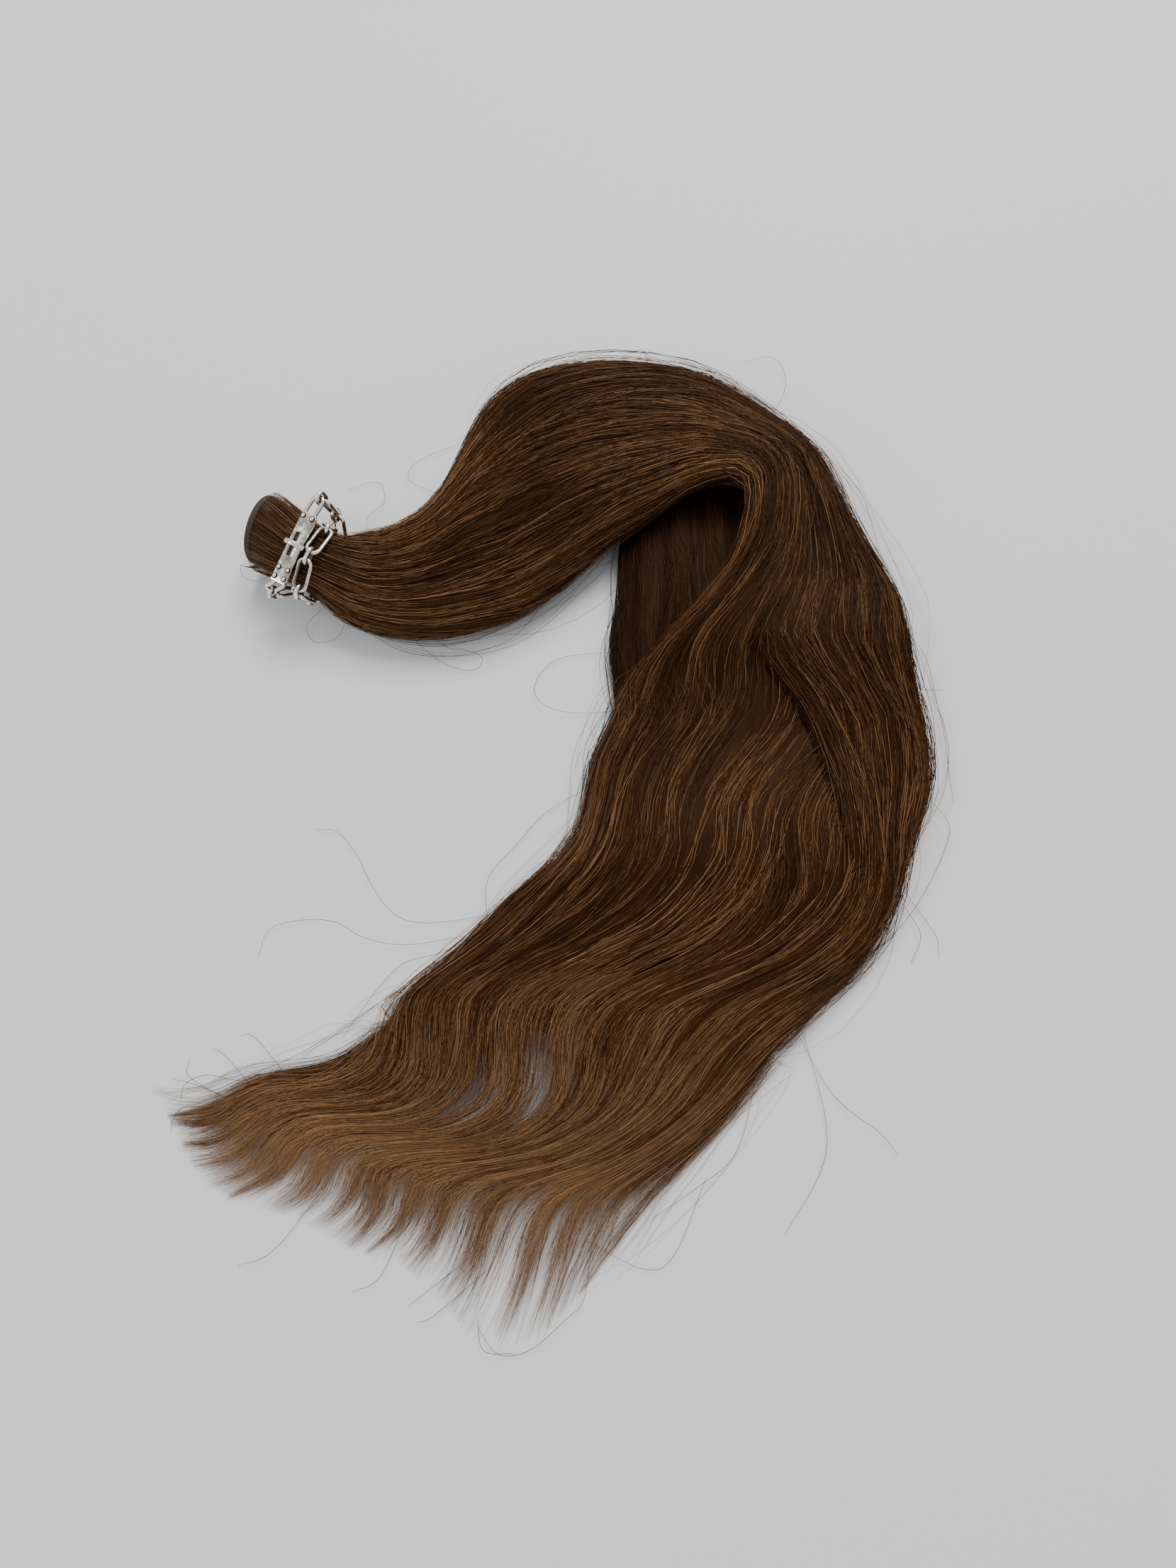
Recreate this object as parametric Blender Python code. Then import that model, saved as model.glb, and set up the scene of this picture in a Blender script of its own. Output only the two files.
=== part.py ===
"""A weft of long wavy hair, rolled at its track and tied with a chain bracelet.

The bundle lies on a table. Its sewn track is rolled into a short drum. A silver chain with a turn
lock is wound twice round the neck. From there the hair runs as a thick arm, turns over at a fold,
falls in waves and ends in a thin fringe of pointed tips.

Lengths are in metres and +Z is up. The X axis runs along the arm and the Y axis runs from the
fringe to the crest of the arm.
"""
import math

import bmesh
import bpy
from mathutils import Matrix, Vector

MM = 0.001

# The lying hair as a whole.
SPAN_ACROSS = 240.0 * MM
SPAN_ALONG = 330.0 * MM
PILE_HEIGHT = 30.0 * MM
LOCK_RISE = 2.0 * MM
OUTER_TUCK = 0.2
SLIT_WIDTH = 3.4 * MM
TIP_HEIGHT = 0.6 * MM
UNDER_LAYER_LIFT = 0.4 * MM
EDGE_CROWDING = 0.55
CROWN_FULLNESS = 2.4
FOOT_ROUNDING = 0.7
ROWS_TO_FULL_RISE = 3
TOOTH_LIFT = 0.15
TOOTH_TAPER = 0.75
TOOTH_FLATNESS = 0.8

# The rolled track at the root end.
DRUM_RADIUS = 13.2 * MM
TRACK_HEIGHT = 2.2 * MM
TRACK_THICKNESS = 0.9 * MM
TRACK_PITCH = 1.6 * MM
TRACK_CORE_RADIUS = 2.0 * MM
TRACK_TAIL_LENGTH = 6.0 * MM
TRACK_TAIL_TURN = 0.75
TRACK_TAIL_TAPER = 0.85
TRACK_END_DEG = 238.0

# The neck under the bracelet.
WAIST_RADIUS = 10.3 * MM
NECK_HEIGHT = 15.3 * MM
WAIST_ROOT_SIDE = 4.6 * MM
WAIST_HAIR_SIDE = 9.4 * MM
SHOULDER_FULLNESS = 2.4
DRUM_TURN_DEG = -19.5
NECK_TURN_DEG = -28.0
DRUM_PLACE = (-0.427, 0.277)
NECK_PLACE = (-0.362, 0.244)

# Touching pieces keep this gap, and cuts run past the faces that they cut by the margin.
GAP = 0.3 * MM
CUT_MARGIN = 1.0 * MM

# The clasp. It leans towards the front by this angle from the top of the neck.
CLASP_LEAN_DEG = -20.0
BASE_LENGTH = 24.0 * MM
PLATE_OVERHANG = 0.5 * MM
PLATE_LENGTH = BASE_LENGTH + 2 * PLATE_OVERHANG
PLATE_WIDTH = 5.4 * MM
PLATE_THICKNESS = 1.2 * MM
PLATE_EDGE = 0.25 * MM
BASE_WIDTH = 4.6 * MM
BASE_THICKNESS = 1.0 * MM
SLOT_LENGTH = 8.4 * MM
SLOT_WIDTH = 2.2 * MM
SLOT_SHIFT = 1.2 * MM
RIVET_SHANK = 0.4 * MM
RIVET_HEAD = 0.8 * MM
RIVET_RISE = 0.55 * MM
RIVET_SPREAD = 1.7 * MM
RIVET_SHOULDER = 0.72
RIVET_ROWS_FROM_BACK = (1.4 * MM,)
RIVET_ROWS_FROM_FRONT = (1.7 * MM, 4.9 * MM)
KNOB_LENGTH = 7.6 * MM
KNOB_WIDTH = 1.6 * MM
KNOB_STRIP = 0.9 * MM
KNOB_RISE = 2.2 * MM
KNOB_STEM = 0.7 * MM
KNOB_ARCH = 2.2
STIRRUP_REACH = 7.2 * MM
STIRRUP_DROOP_DEG = 14.0
FRONT_LOOP_REACH = 7.0 * MM
FRONT_LOOP_DROOP_DEG = 52.0
FRONT_LOOP_SHIFT = 3.2 * MM
LOOP_ROOT = 1.5 * MM
LOOP_STRAIGHT = 0.8 * MM

# The chain.
WIRE = 1.15 * MM
LOOP_WIDTH = 4.9 * MM
LONG_LINK = 12.0 * MM
LONG_LINK_WIDTH = 5.6 * MM
SHORT_LINK = 6.4 * MM
SHORT_LINK_WIDTH = 4.6 * MM
LINK_PLAY = 0.3 * MM
MOST_PLAY = 0.9 * MM
SLACK = 0.2 * MM

# Numbers of faces.
NECK_SECTIONS = 6
COLUMNS = 24
UNDER_COLUMNS = 10
TEETH = 12
TOOTH_RINGS = 5
LINK_BEND_STEPS = 5
WIRE_SIDES = 5
TRACK_STEPS = 16
ROUND_SIDES = 8
KNOB_STEPS = 8
TAIL_STEPS = 3
ROUTE_STEPS = 24
FITTING_ROUNDS = 40
LOCK_SIDES = 8

# Sections of the upper sheet from the arm to the fringe, as shares. X and Y are shares of the
# spans, and heights are shares of the pile. The tuck is how far the inner side slopes in under the
# sheet, as a share of half its width. The bow moves the middle of the section along Y.
# Columns: outer_x, outer_y, outer_z, inner_x, inner_y, inner_z, crown, tuck, bow
UPPER_SHEET = (
    (-0.286, 0.275, 0.37, -0.326, 0.188, 0.34, 0.38, 0.20, 0.0),
    (-0.252, 0.282, 0.33, -0.289, 0.173, 0.30, 0.38, 0.20, 0.0),
    (-0.209, 0.304, 0.30, -0.236, 0.164, 0.27, 0.42, 0.20, 0.0),
    (-0.173, 0.343, 0.27, -0.176, 0.163, 0.27, 0.46, 0.20, 0.0),
    (-0.150, 0.391, 0.27, -0.116, 0.172, 0.27, 0.50, 0.20, 0.0),
    (-0.121, 0.440, 0.27, -0.057, 0.188, 0.27, 0.52, 0.20, 0.0),
    (-0.074, 0.472, 0.30, -0.002, 0.218, 0.30, 0.52, 0.20, 0.0),
    (-0.012, 0.487, 0.33, 0.049, 0.250, 0.37, 0.50, 0.30, 0.0),
    (0.056, 0.491, 0.36, 0.090, 0.275, 0.43, 0.46, 0.50, 0.0),
    (0.130, 0.488, 0.37, 0.136, 0.296, 0.53, 0.40, 0.70, 0.0),
    (0.214, 0.474, 0.37, 0.181, 0.318, 0.64, 0.31, 0.80, 0.0),
    (0.276, 0.442, 0.37, 0.216, 0.326, 0.72, 0.25, 0.90, 0.0),
    (0.335, 0.409, 0.37, 0.246, 0.327, 0.74, 0.22, 0.90, 0.0),
    (0.378, 0.373, 0.36, 0.264, 0.315, 0.68, 0.24, 0.90, 0.0),
    (0.406, 0.319, 0.33, 0.262, 0.288, 0.58, 0.30, 0.80, 0.0),
    (0.438, 0.267, 0.30, 0.240, 0.241, 0.48, 0.33, 0.60, 0.0),
    (0.473, 0.213, 0.27, 0.189, 0.196, 0.39, 0.37, 0.40, 0.0),
    (0.485, 0.163, 0.23, 0.128, 0.151, 0.32, 0.40, 0.30, 0.0),
    (0.488, 0.117, 0.20, 0.083, 0.112, 0.23, 0.40, 0.20, 0.0),
    (0.495, 0.070, 0.20, 0.059, 0.074, 0.20, 0.40, 0.20, 0.0),
    (0.497, 0.024, 0.19, 0.036, 0.037, 0.17, 0.40, 0.20, 0.0),
    (0.489, -0.012, 0.17, 0.026, -0.004, 0.16, 0.40, 0.20, 0.0),
    (0.467, -0.048, 0.16, 0.013, -0.043, 0.14, 0.40, 0.20, 0.0),
    (0.449, -0.086, 0.14, -0.023, -0.077, 0.13, 0.40, 0.20, 0.0),
    (0.425, -0.125, 0.13, -0.078, -0.111, 0.11, 0.37, 0.20, 0.0),
    (0.397, -0.162, 0.11, -0.132, -0.151, 0.09, 0.36, 0.20, 0.0),
    (0.365, -0.195, 0.10, -0.181, -0.181, 0.08, 0.33, 0.20, 0.0),
    (0.321, -0.231, 0.09, -0.225, -0.204, 0.07, 0.30, 0.20, 0.0),
    (0.279, -0.266, 0.08, -0.259, -0.230, 0.07, 0.26, 0.20, -0.010),
    (0.237, -0.297, 0.07, -0.297, -0.251, 0.06, 0.23, 0.20, -0.030),
    (0.191, -0.328, 0.06, -0.341, -0.262, 0.06, 0.20, 0.20, -0.040),
    (0.151, -0.355, 0.06, -0.385, -0.272, 0.05, 0.17, 0.20, -0.036),
    (0.116, -0.378, 0.05, -0.418, -0.288, 0.05, 0.15, 0.20, -0.026),
)

# Sections of the under layer, which comes out from below the fold. It has the same columns.
UNDER_LAYER = (
    (0.305, 0.376, 0.20, 0.097, 0.325, 0.20, 0.10, 0.20, 0.0),
    (0.318, 0.336, 0.19, 0.086, 0.302, 0.17, 0.15, 0.20, 0.0),
    (0.327, 0.285, 0.17, 0.077, 0.265, 0.14, 0.20, 0.20, 0.0),
    (0.330, 0.225, 0.16, 0.073, 0.210, 0.13, 0.23, 0.20, 0.0),
    (0.332, 0.168, 0.13, 0.062, 0.156, 0.13, 0.23, 0.20, 0.0),
    (0.328, 0.113, 0.11, 0.066, 0.117, 0.11, 0.22, 0.20, 0.0),
    (0.313, 0.058, 0.10, 0.073, 0.080, 0.09, 0.18, 0.20, 0.0),
    (0.296, 0.014, 0.08, 0.090, 0.044, 0.08, 0.12, 0.20, 0.0),
)

# Narrow slits that show the table through the thin lower end.
# Columns: column of the sheet, first section and last section
SLITS = (
    (9, 28, 31),
    (13, 28, 30),
    (18, 29, 32),
)

# The pointed ends of the teeth of the fringe, from the inner edge to the outer one.
# Columns: x, y, hook (how far the tooth runs on in the sheet's direction before it turns down)
TEETH_TIPS = (
    (-0.490, -0.309, 0.30),
    (-0.455, -0.349, 0.40),
    (-0.412, -0.377, 0.40),
    (-0.349, -0.390, 0.35),
    (-0.287, -0.407, 0.35),
    (-0.246, -0.423, 0.30),
    (-0.198, -0.429, 0.30),
    (-0.161, -0.449, 0.30),
    (-0.112, -0.485, 0.25),
    (-0.062, -0.498, 0.25),
    (-0.020, -0.490, 0.20),
    (0.022, -0.457, 0.20),
)

# Locks that lie on the sheet and stand out from it.
# Columns: x, y, height of the centre, half width, half thickness; the last three are shares of
# the pile
TURNING_LOCK = (
    (0.214, 0.200, 0.44, 0.02, 0.02),
    (0.223, 0.144, 0.50, 0.16, 0.09),
    (0.250, 0.097, 0.53, 0.20, 0.10),
    (0.298, 0.060, 0.54, 0.20, 0.10),
    (0.343, 0.028, 0.52, 0.19, 0.10),
    (0.372, -0.012, 0.50, 0.18, 0.09),
    (0.372, -0.060, 0.47, 0.16, 0.09),
    (0.344, -0.110, 0.45, 0.13, 0.08),
    (0.290, -0.155, 0.42, 0.02, 0.02),
)
RIDGE_LOCK = (
    (-0.020, 0.285, 0.70, 0.02, 0.02),
    (0.075, 0.326, 0.80, 0.16, 0.10),
    (0.149, 0.358, 0.86, 0.20, 0.12),
    (0.218, 0.370, 0.91, 0.22, 0.13),
    (0.272, 0.358, 0.92, 0.22, 0.13),
    (0.303, 0.322, 0.86, 0.20, 0.12),
    (0.300, 0.272, 0.75, 0.17, 0.10),
    (0.268, 0.215, 0.60, 0.02, 0.02),
)
CREST_LOCK = (
    (-0.040, 0.377, 0.74, 0.02, 0.02),
    (0.055, 0.413, 0.79, 0.17, 0.10),
    (0.151, 0.432, 0.78, 0.20, 0.11),
    (0.236, 0.430, 0.75, 0.20, 0.12),
    (0.299, 0.410, 0.72, 0.19, 0.11),
    (0.349, 0.375, 0.67, 0.16, 0.10),
    (0.383, 0.318, 0.58, 0.02, 0.02),
)
LEFT_LOCK = (
    (0.107, 0.095, 0.33, 0.02, 0.02),
    (0.085, 0.047, 0.34, 0.14, 0.08),
    (0.066, -0.004, 0.35, 0.17, 0.09),
    (0.058, -0.048, 0.35, 0.17, 0.09),
    (0.022, -0.090, 0.33, 0.16, 0.08),
    (-0.039, -0.128, 0.29, 0.15, 0.08),
    (-0.092, -0.164, 0.26, 0.13, 0.07),
    (-0.152, -0.205, 0.20, 0.02, 0.02),
)
LOCKS = (TURNING_LOCK, RIDGE_LOCK, CREST_LOCK, LEFT_LOCK)

# The chain's way from the stirrup to the front loop, twice round the neck. The angle starts at
# the top of the neck and grows towards the back.
# Columns: degrees, distance from the neck's axis, place along the neck
CHAIN_ROUTE = (
    (64.0, 17.8 * MM, 0.9 * MM),
    (84.0, 17.0 * MM, 1.4 * MM),
    (108.0, 15.8 * MM, 2.4 * MM),
    (132.0, 14.4 * MM, 4.2 * MM),
    (156.0, 13.0 * MM, 5.6 * MM),
    (180.0, 12.9 * MM, 6.3 * MM),
    (215.0, 12.9 * MM, 6.2 * MM),
    (248.0, 13.6 * MM, 6.1 * MM),
    (274.0, 14.9 * MM, 6.2 * MM),
    (300.0, 14.3 * MM, 6.2 * MM),
    (325.0, 13.2 * MM, 6.1 * MM),
    (345.0, 12.9 * MM, 6.1 * MM),
    (375.0, 12.9 * MM, 6.0 * MM),
    (400.0, 12.9 * MM, 5.2 * MM),
    (425.0, 12.9 * MM, 2.9 * MM),
    (450.0, 12.9 * MM, 0.4 * MM),
    (480.0, 12.9 * MM, -1.2 * MM),
    (510.0, 12.9 * MM, -1.5 * MM),
    (540.0, 12.9 * MM, -1.5 * MM),
    (570.0, 12.9 * MM, -1.5 * MM),
    (592.0, 13.7 * MM, -2.4 * MM),
    (610.0, 15.8 * MM, -3.0 * MM),
)


def clear_scene():
    for thing in list(bpy.data.objects):
        bpy.data.objects.remove(thing, do_unlink=True)


def material(name, colour, roughness, metallic):
    made = bpy.data.materials.new(name)
    made.use_nodes = True
    shader = made.node_tree.nodes["Principled BSDF"]
    shader.inputs["Base Color"].default_value = (*colour, 1.0)
    shader.inputs["Roughness"].default_value = roughness
    shader.inputs["Metallic"].default_value = metallic
    made.diffuse_color = (*colour, 1.0)
    return made


def hair_brown():
    return material("hair_brown", (0.075, 0.036, 0.018), 0.45, 0.0)


def track_cloth():
    return material("track_cloth", (0.055, 0.038, 0.028), 0.85, 0.0)


def old_silver():
    return material("old_silver", (0.60, 0.56, 0.50), 0.30, 1.0)


def add_object(name, mesh, finish, place=None):
    made = bpy.data.objects.new(name, mesh)
    bpy.context.scene.collection.objects.link(made)
    mesh.materials.clear()
    mesh.materials.append(finish)
    if place is not None:
        made.parent = place
    return made


def mesh_of(name, points, faces):
    """A mesh from points and faces, with its faces turned outwards."""
    mesh = bpy.data.meshes.new(name)
    mesh.from_pydata([tuple(p) for p in points], [], faces)
    shape = bmesh.new()
    shape.from_mesh(mesh)
    bmesh.ops.recalc_face_normals(shape, faces=shape.faces)
    shape.to_mesh(mesh)
    shape.free()
    return mesh


def smooth_path(points, steps):
    """Points on a smooth curve through the given ones, with steps to each stretch."""
    ends = [2 * points[0] - points[1], *points, 2 * points[-1] - points[-2]]
    path = []
    for i in range(1, len(ends) - 2):
        a, b, c, d = ends[i - 1:i + 3]
        for step in range(steps):
            t = step / steps
            path.append(0.5 * (2 * b + (c - a) * t + (2 * a - 5 * b + 4 * c - d) * t ** 2
                               + (3 * b - a - 3 * c + d) * t ** 3))
    path.append(points[-1])
    return path


# The neck and its axes.

def axes(turn_deg):
    """Unit vectors along the neck towards the hair, and across it towards the back."""
    turn = math.radians(turn_deg)
    along = Vector((math.cos(turn), math.sin(turn), 0.0))
    across = Vector((-math.sin(turn), math.cos(turn), 0.0))
    return along, across


def table_point(x_share, y_share, height=0.0):
    return Vector((x_share * SPAN_ACROSS, y_share * SPAN_ALONG, height))


def drum_centre():
    return table_point(*DRUM_PLACE, DRUM_RADIUS)


def neck_centre():
    return table_point(*NECK_PLACE, NECK_HEIGHT)


def on_neck(degrees, radius, place):
    along, across = axes(NECK_TURN_DEG)
    angle = math.radians(degrees)
    outward = across * math.sin(angle) + Vector((0, 0, math.cos(angle)))
    return neck_centre() + along * place + outward * radius


# The hair: round sections at the neck, then flat-bottomed sections, then teeth.

def round_section(centre, turn_deg, radius, columns):
    """The upper and the lower line of a round section, each from the inner side to the outer."""
    across = axes(turn_deg)[1]
    upper = []
    lower = []
    for i in range(columns + 1):
        angle = math.pi * (1 - i / columns)
        side = across * math.cos(angle) * radius
        rise = Vector((0, 0, math.sin(angle) * radius))
        upper.append(centre + side + rise)
        lower.append(centre + side - rise)
    return upper, lower


def pile_section(row, columns, foot, lobes):
    """The upper and the lower line of one section of a pile of hair."""
    outer_x, outer_y, outer_z, inner_x, inner_y, inner_z, crown, tuck, bow = row
    outer = table_point(outer_x, outer_y, outer_z * PILE_HEIGHT)
    inner = table_point(inner_x, inner_y, inner_z * PILE_HEIGHT)
    upper = []
    lower = []
    for i in range(columns + 1):
        side = -math.cos(math.pi * i / columns)
        even = 2 * i / columns - 1
        share = 0.5 + 0.5 * (EDGE_CROWDING * side + (1 - EDGE_CROWDING) * even)
        middle = inner.lerp(outer, share)
        offset = abs(2 * share - 1)
        middle.y += bow * SPAN_ALONG * (1 - offset ** 2)
        fullness = math.sqrt(max(0.0, 1 - offset ** CROWN_FULLNESS))
        rise = crown * PILE_HEIGHT * fullness
        if i % 2:
            rise += lobes * fullness
        slope = tuck if share < 0.5 else OUTER_TUCK
        fall = (middle.z - foot) * min(1.0, (1 - offset) / slope) ** FOOT_ROUNDING
        upper.append(middle + Vector((0, 0, rise)))
        lower.append(middle - Vector((0, 0, fall)))
    return upper, lower


class Skin:
    """Collects points and faces of one closed surface, with shared corners kept single."""

    def __init__(self):
        self.points = []
        self.faces = []
        self.known = {}

    def point(self, key, place):
        if key not in self.known:
            self.known[key] = len(self.points)
            self.points.append(place)
        return self.known[key]

    def face(self, *corners):
        ring = [c for i, c in enumerate(corners) if c != corners[i - 1]]
        if len(ring) > 2:
            self.faces.append(ring)


def slit_at(row, column):
    for slit_column, first, last in SLITS:
        way = (row - NECK_SECTIONS - first) / (last - first)
        if column == slit_column and 0 < way < 1:
            return math.sin(math.pi * way)
    return 0.0


def sheet_corner(skin, sections, row, column, layer, towards):
    """The number of a corner of the sheet, which a slit splits into two."""
    last = len(sections[row][0]) - 1
    place = sections[row][layer][column]
    if column in (0, last):
        return skin.point((row, column), place)
    opening = slit_at(row, column)
    if not opening:
        return skin.point((row, column, layer), place)
    across = (sections[row][0][last] - sections[row][0][0]).normalized()
    place = place + across * towards * 0.5 * SLIT_WIDTH * opening
    return skin.point((row, column, layer, towards), place)


def add_sheet(skin, sections):
    last = len(sections[0][0]) - 1
    for row in range(len(sections) - 1):
        for column in range(last):
            for layer in (0, 1):
                corners = (
                    sheet_corner(skin, sections, row, column, layer, 1),
                    sheet_corner(skin, sections, row, column + 1, layer, -1),
                    sheet_corner(skin, sections, row + 1, column + 1, layer, -1),
                    sheet_corner(skin, sections, row + 1, column, layer, 1),
                )
                skin.face(*(corners if layer else reversed(corners)))
            if slit_at(row, column) or slit_at(row + 1, column):
                add_slit_walls(skin, sections, row, column)


def add_slit_walls(skin, sections, row, column):
    for towards in (-1, 1):
        corners = [
            sheet_corner(skin, sections, row, column, 0, towards),
            sheet_corner(skin, sections, row + 1, column, 0, towards),
            sheet_corner(skin, sections, row + 1, column, 1, towards),
            sheet_corner(skin, sections, row, column, 1, towards),
        ]
        skin.face(*corners)


def section_ring(skin, sections, row, first, last):
    """Corner numbers round a stretch of one section, over the top and back underneath."""
    upper = [sheet_corner(skin, sections, row, c, 0, 1) for c in range(first, last + 1)]
    lower = [sheet_corner(skin, sections, row, c, 1, 1) for c in range(last, first - 1, -1)]
    ring = []
    for corner in upper + lower:
        if corner not in ring:
            ring.append(corner)
    return ring


def add_tooth(skin, sections, number):
    """One pointed lock of the fringe, which grows out of the last section."""
    row = len(sections) - 1
    width = COLUMNS // TEETH
    ring = section_ring(skin, sections, row, number * width, (number + 1) * width)
    start = [skin.points[c] for c in ring]
    centre = sum(start, Vector()) / len(start)
    x_share, y_share, hook = TEETH_TIPS[number]
    tip = table_point(x_share, y_share, TIP_HEIGHT)
    before = sections[row - 1][0][number * width]
    run = (sections[row][0][number * width] - before).normalized()
    knee = centre + run * hook * (tip - centre).length + (tip - centre) * TOOTH_LIFT
    for step in range(1, TOOTH_RINGS):
        t = step / TOOTH_RINGS
        spine = centre.lerp(knee, t).lerp(knee.lerp(tip, t), t)
        thinning = (1 - t) ** TOOTH_TAPER
        new_ring = []
        for i, base in enumerate(start):
            offset = base - centre
            place = spine + offset * thinning
            place.z = base.z * (1 - TOOTH_FLATNESS * t)
            new_ring.append(skin.point(("tooth", number, step, i), place))
        join_rings(skin, ring, new_ring)
        ring = new_ring
    point = skin.point(("tip", number), tip)
    for i, corner in enumerate(ring):
        skin.face(ring[i - 1], corner, point)


def join_rings(skin, first, second):
    for i in range(len(first)):
        skin.face(first[i - 1], first[i], second[i], second[i - 1])


def upper_sheet_mesh():
    sections = [
        round_section(drum_centre(), DRUM_TURN_DEG, DRUM_RADIUS, COLUMNS),
        round_section(shoulder_centre(0.30), shoulder_turn(0.30), shoulder_radius(0.30), COLUMNS),
        round_section(shoulder_centre(0.65), shoulder_turn(0.65), shoulder_radius(0.65), COLUMNS),
        round_section(waist_centre(-WAIST_ROOT_SIDE), NECK_TURN_DEG, WAIST_RADIUS, COLUMNS),
        round_section(waist_centre(0.0), NECK_TURN_DEG, WAIST_RADIUS, COLUMNS),
        round_section(waist_centre(WAIST_HAIR_SIDE), NECK_TURN_DEG, WAIST_RADIUS, COLUMNS),
    ]
    for number, row in enumerate(UPPER_SHEET):
        lobes = LOCK_RISE * min(1.0, number / ROWS_TO_FULL_RISE)
        sections.append(pile_section(row, COLUMNS, 0.0, lobes))
    skin = Skin()
    add_sheet(skin, sections)
    skin.face(*section_ring(skin, sections, 0, 0, COLUMNS))
    for number in range(TEETH):
        add_tooth(skin, sections, number)
    return mesh_of("hair", skin.points, skin.faces)


def waist_centre(place):
    return neck_centre() + axes(NECK_TURN_DEG)[0] * place


def shoulder_centre(share):
    """A point of the bent stretch between the drum and the waist."""
    start = drum_centre()
    end = waist_centre(-WAIST_ROOT_SIDE)
    reach = (end - start).length
    from_drum = start + axes(DRUM_TURN_DEG)[0] * reach / 2
    from_waist = end - axes(NECK_TURN_DEG)[0] * reach / 2
    bend = (from_drum + from_waist) / 2
    return start.lerp(bend, share).lerp(bend.lerp(end, share), share)


def shoulder_turn(share):
    return DRUM_TURN_DEG + (NECK_TURN_DEG - DRUM_TURN_DEG) * share


def shoulder_radius(share):
    return DRUM_RADIUS + (WAIST_RADIUS - DRUM_RADIUS) * share ** SHOULDER_FULLNESS


def under_layer_mesh():
    sections = [pile_section(row, UNDER_COLUMNS, UNDER_LAYER_LIFT, LOCK_RISE) for row in UNDER_LAYER]
    skin = Skin()
    add_plain_sheet(skin, sections)
    return mesh_of("under_layer", skin.points, skin.faces)


def add_plain_sheet(skin, sections):
    """A closed sheet with no slits and with flat ends."""
    last = len(sections[0][0]) - 1
    rings = []
    for row, section in enumerate(sections):
        upper = [skin.point((row, c, 0), section[0][c]) for c in range(last + 1)]
        lower = [skin.point((row, c, 1), section[1][c]) for c in range(last - 1, 0, -1)]
        rings.append(upper + lower)
    for first, second in zip(rings, rings[1:]):
        join_rings(skin, first, second)
    skin.face(*rings[0])
    skin.face(*rings[-1])


def lock_mesh(rows):
    """A tapered lock with an oval section, which lies along its rows."""
    centres = [table_point(row[0], row[1], row[2] * PILE_HEIGHT) for row in rows]
    skin = Skin()
    rings = []
    for i, row in enumerate(rows):
        run = centres[min(i + 1, len(rows) - 1)] - centres[max(i - 1, 0)]
        side = Vector((run.y, -run.x, 0)).normalized()
        ring = []
        for step in range(LOCK_SIDES):
            angle = 2 * math.pi * step / LOCK_SIDES
            place = (centres[i] + side * math.cos(angle) * row[3] * PILE_HEIGHT
                     + Vector((0, 0, math.sin(angle) * row[4] * PILE_HEIGHT)))
            ring.append(skin.point((i, step), place))
        rings.append(ring)
    for first, second in zip(rings, rings[1:]):
        join_rings(skin, first, second)
    skin.face(*rings[0])
    skin.face(*rings[-1])
    return mesh_of("lock", skin.points, skin.faces)


def hide_helper(thing):
    thing.hide_render = True
    thing.display_type = "WIRE"


def fuse(target, helper, operation="UNION"):
    hide_helper(helper)
    step = target.modifiers.new(operation.lower() + "_" + helper.name, "BOOLEAN")
    step.operation = operation
    step.solver = "EXACT"
    step.object = helper


def make_hair(place):
    finish = hair_brown()
    hair = add_object("hair", upper_sheet_mesh(), finish, place)
    fuse(hair, add_object("helper_under_layer", under_layer_mesh(), finish, place))
    for number, rows in enumerate(LOCKS, 1):
        fuse(hair, add_object(f"helper_lock_{number}", lock_mesh(rows), finish, place))
    return hair


# The rolled track.

def track_mesh():
    """A flat band that winds outwards and ends in a loose pointed tail."""
    along, across = axes(DRUM_TURN_DEG)
    face_centre = drum_centre() - along * (GAP + TRACK_HEIGHT / 2)
    outer = DRUM_RADIUS - TRACK_THICKNESS / 2
    turns = (outer - TRACK_CORE_RADIUS) / TRACK_PITCH
    steps = round(turns * TRACK_STEPS)
    path = []
    for i in range(steps + 1):
        radius = TRACK_CORE_RADIUS + (outer - TRACK_CORE_RADIUS) * i / steps
        angle = math.radians(TRACK_END_DEG) - 2 * math.pi * turns * (1 - i / steps)
        outward = across * math.sin(angle) + Vector((0, 0, math.cos(angle)))
        path.append((face_centre + outward * radius, outward, 1.0))
    last, outward, _ = path[-1]
    runs_on = (last - path[-2][0]).normalized()
    for i in range(1, TAIL_STEPS + 1):
        t = i / TAIL_STEPS
        turned = runs_on.lerp(-along, TRACK_TAIL_TURN * t).normalized()
        last = last + turned * TRACK_TAIL_LENGTH / TAIL_STEPS
        path.append((last, outward, 1 - TRACK_TAIL_TAPER * t))
    skin = Skin()
    rings = []
    for i, (centre, outward, size) in enumerate(path):
        thick = outward * TRACK_THICKNESS / 2 * size
        high = along * TRACK_HEIGHT / 2 * size
        corners = (centre + thick + high, centre + thick - high,
                   centre - thick - high, centre - thick + high)
        rings.append([skin.point((i, k), corner) for k, corner in enumerate(corners)])
    for first, second in zip(rings, rings[1:]):
        join_rings(skin, first, second)
    skin.face(*rings[0])
    skin.face(*rings[-1])
    return mesh_of("weft_track", skin.points, skin.faces)


def make_track(place):
    return add_object("weft_track", track_mesh(), track_cloth(), place)


# The clasp. Its own frame has X along the plate towards the back, and Z out of the neck.

def clasp_frame():
    lean = math.radians(CLASP_LEAN_DEG)
    along, across = axes(NECK_TURN_DEG)
    out = across * math.sin(lean) + Vector((0, 0, math.cos(lean)))
    lengthwise = across * math.cos(lean) - Vector((0, 0, math.sin(lean)))
    frame = Matrix((lengthwise, -along, out)).transposed().to_4x4()
    frame.translation = neck_centre()
    return frame


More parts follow.
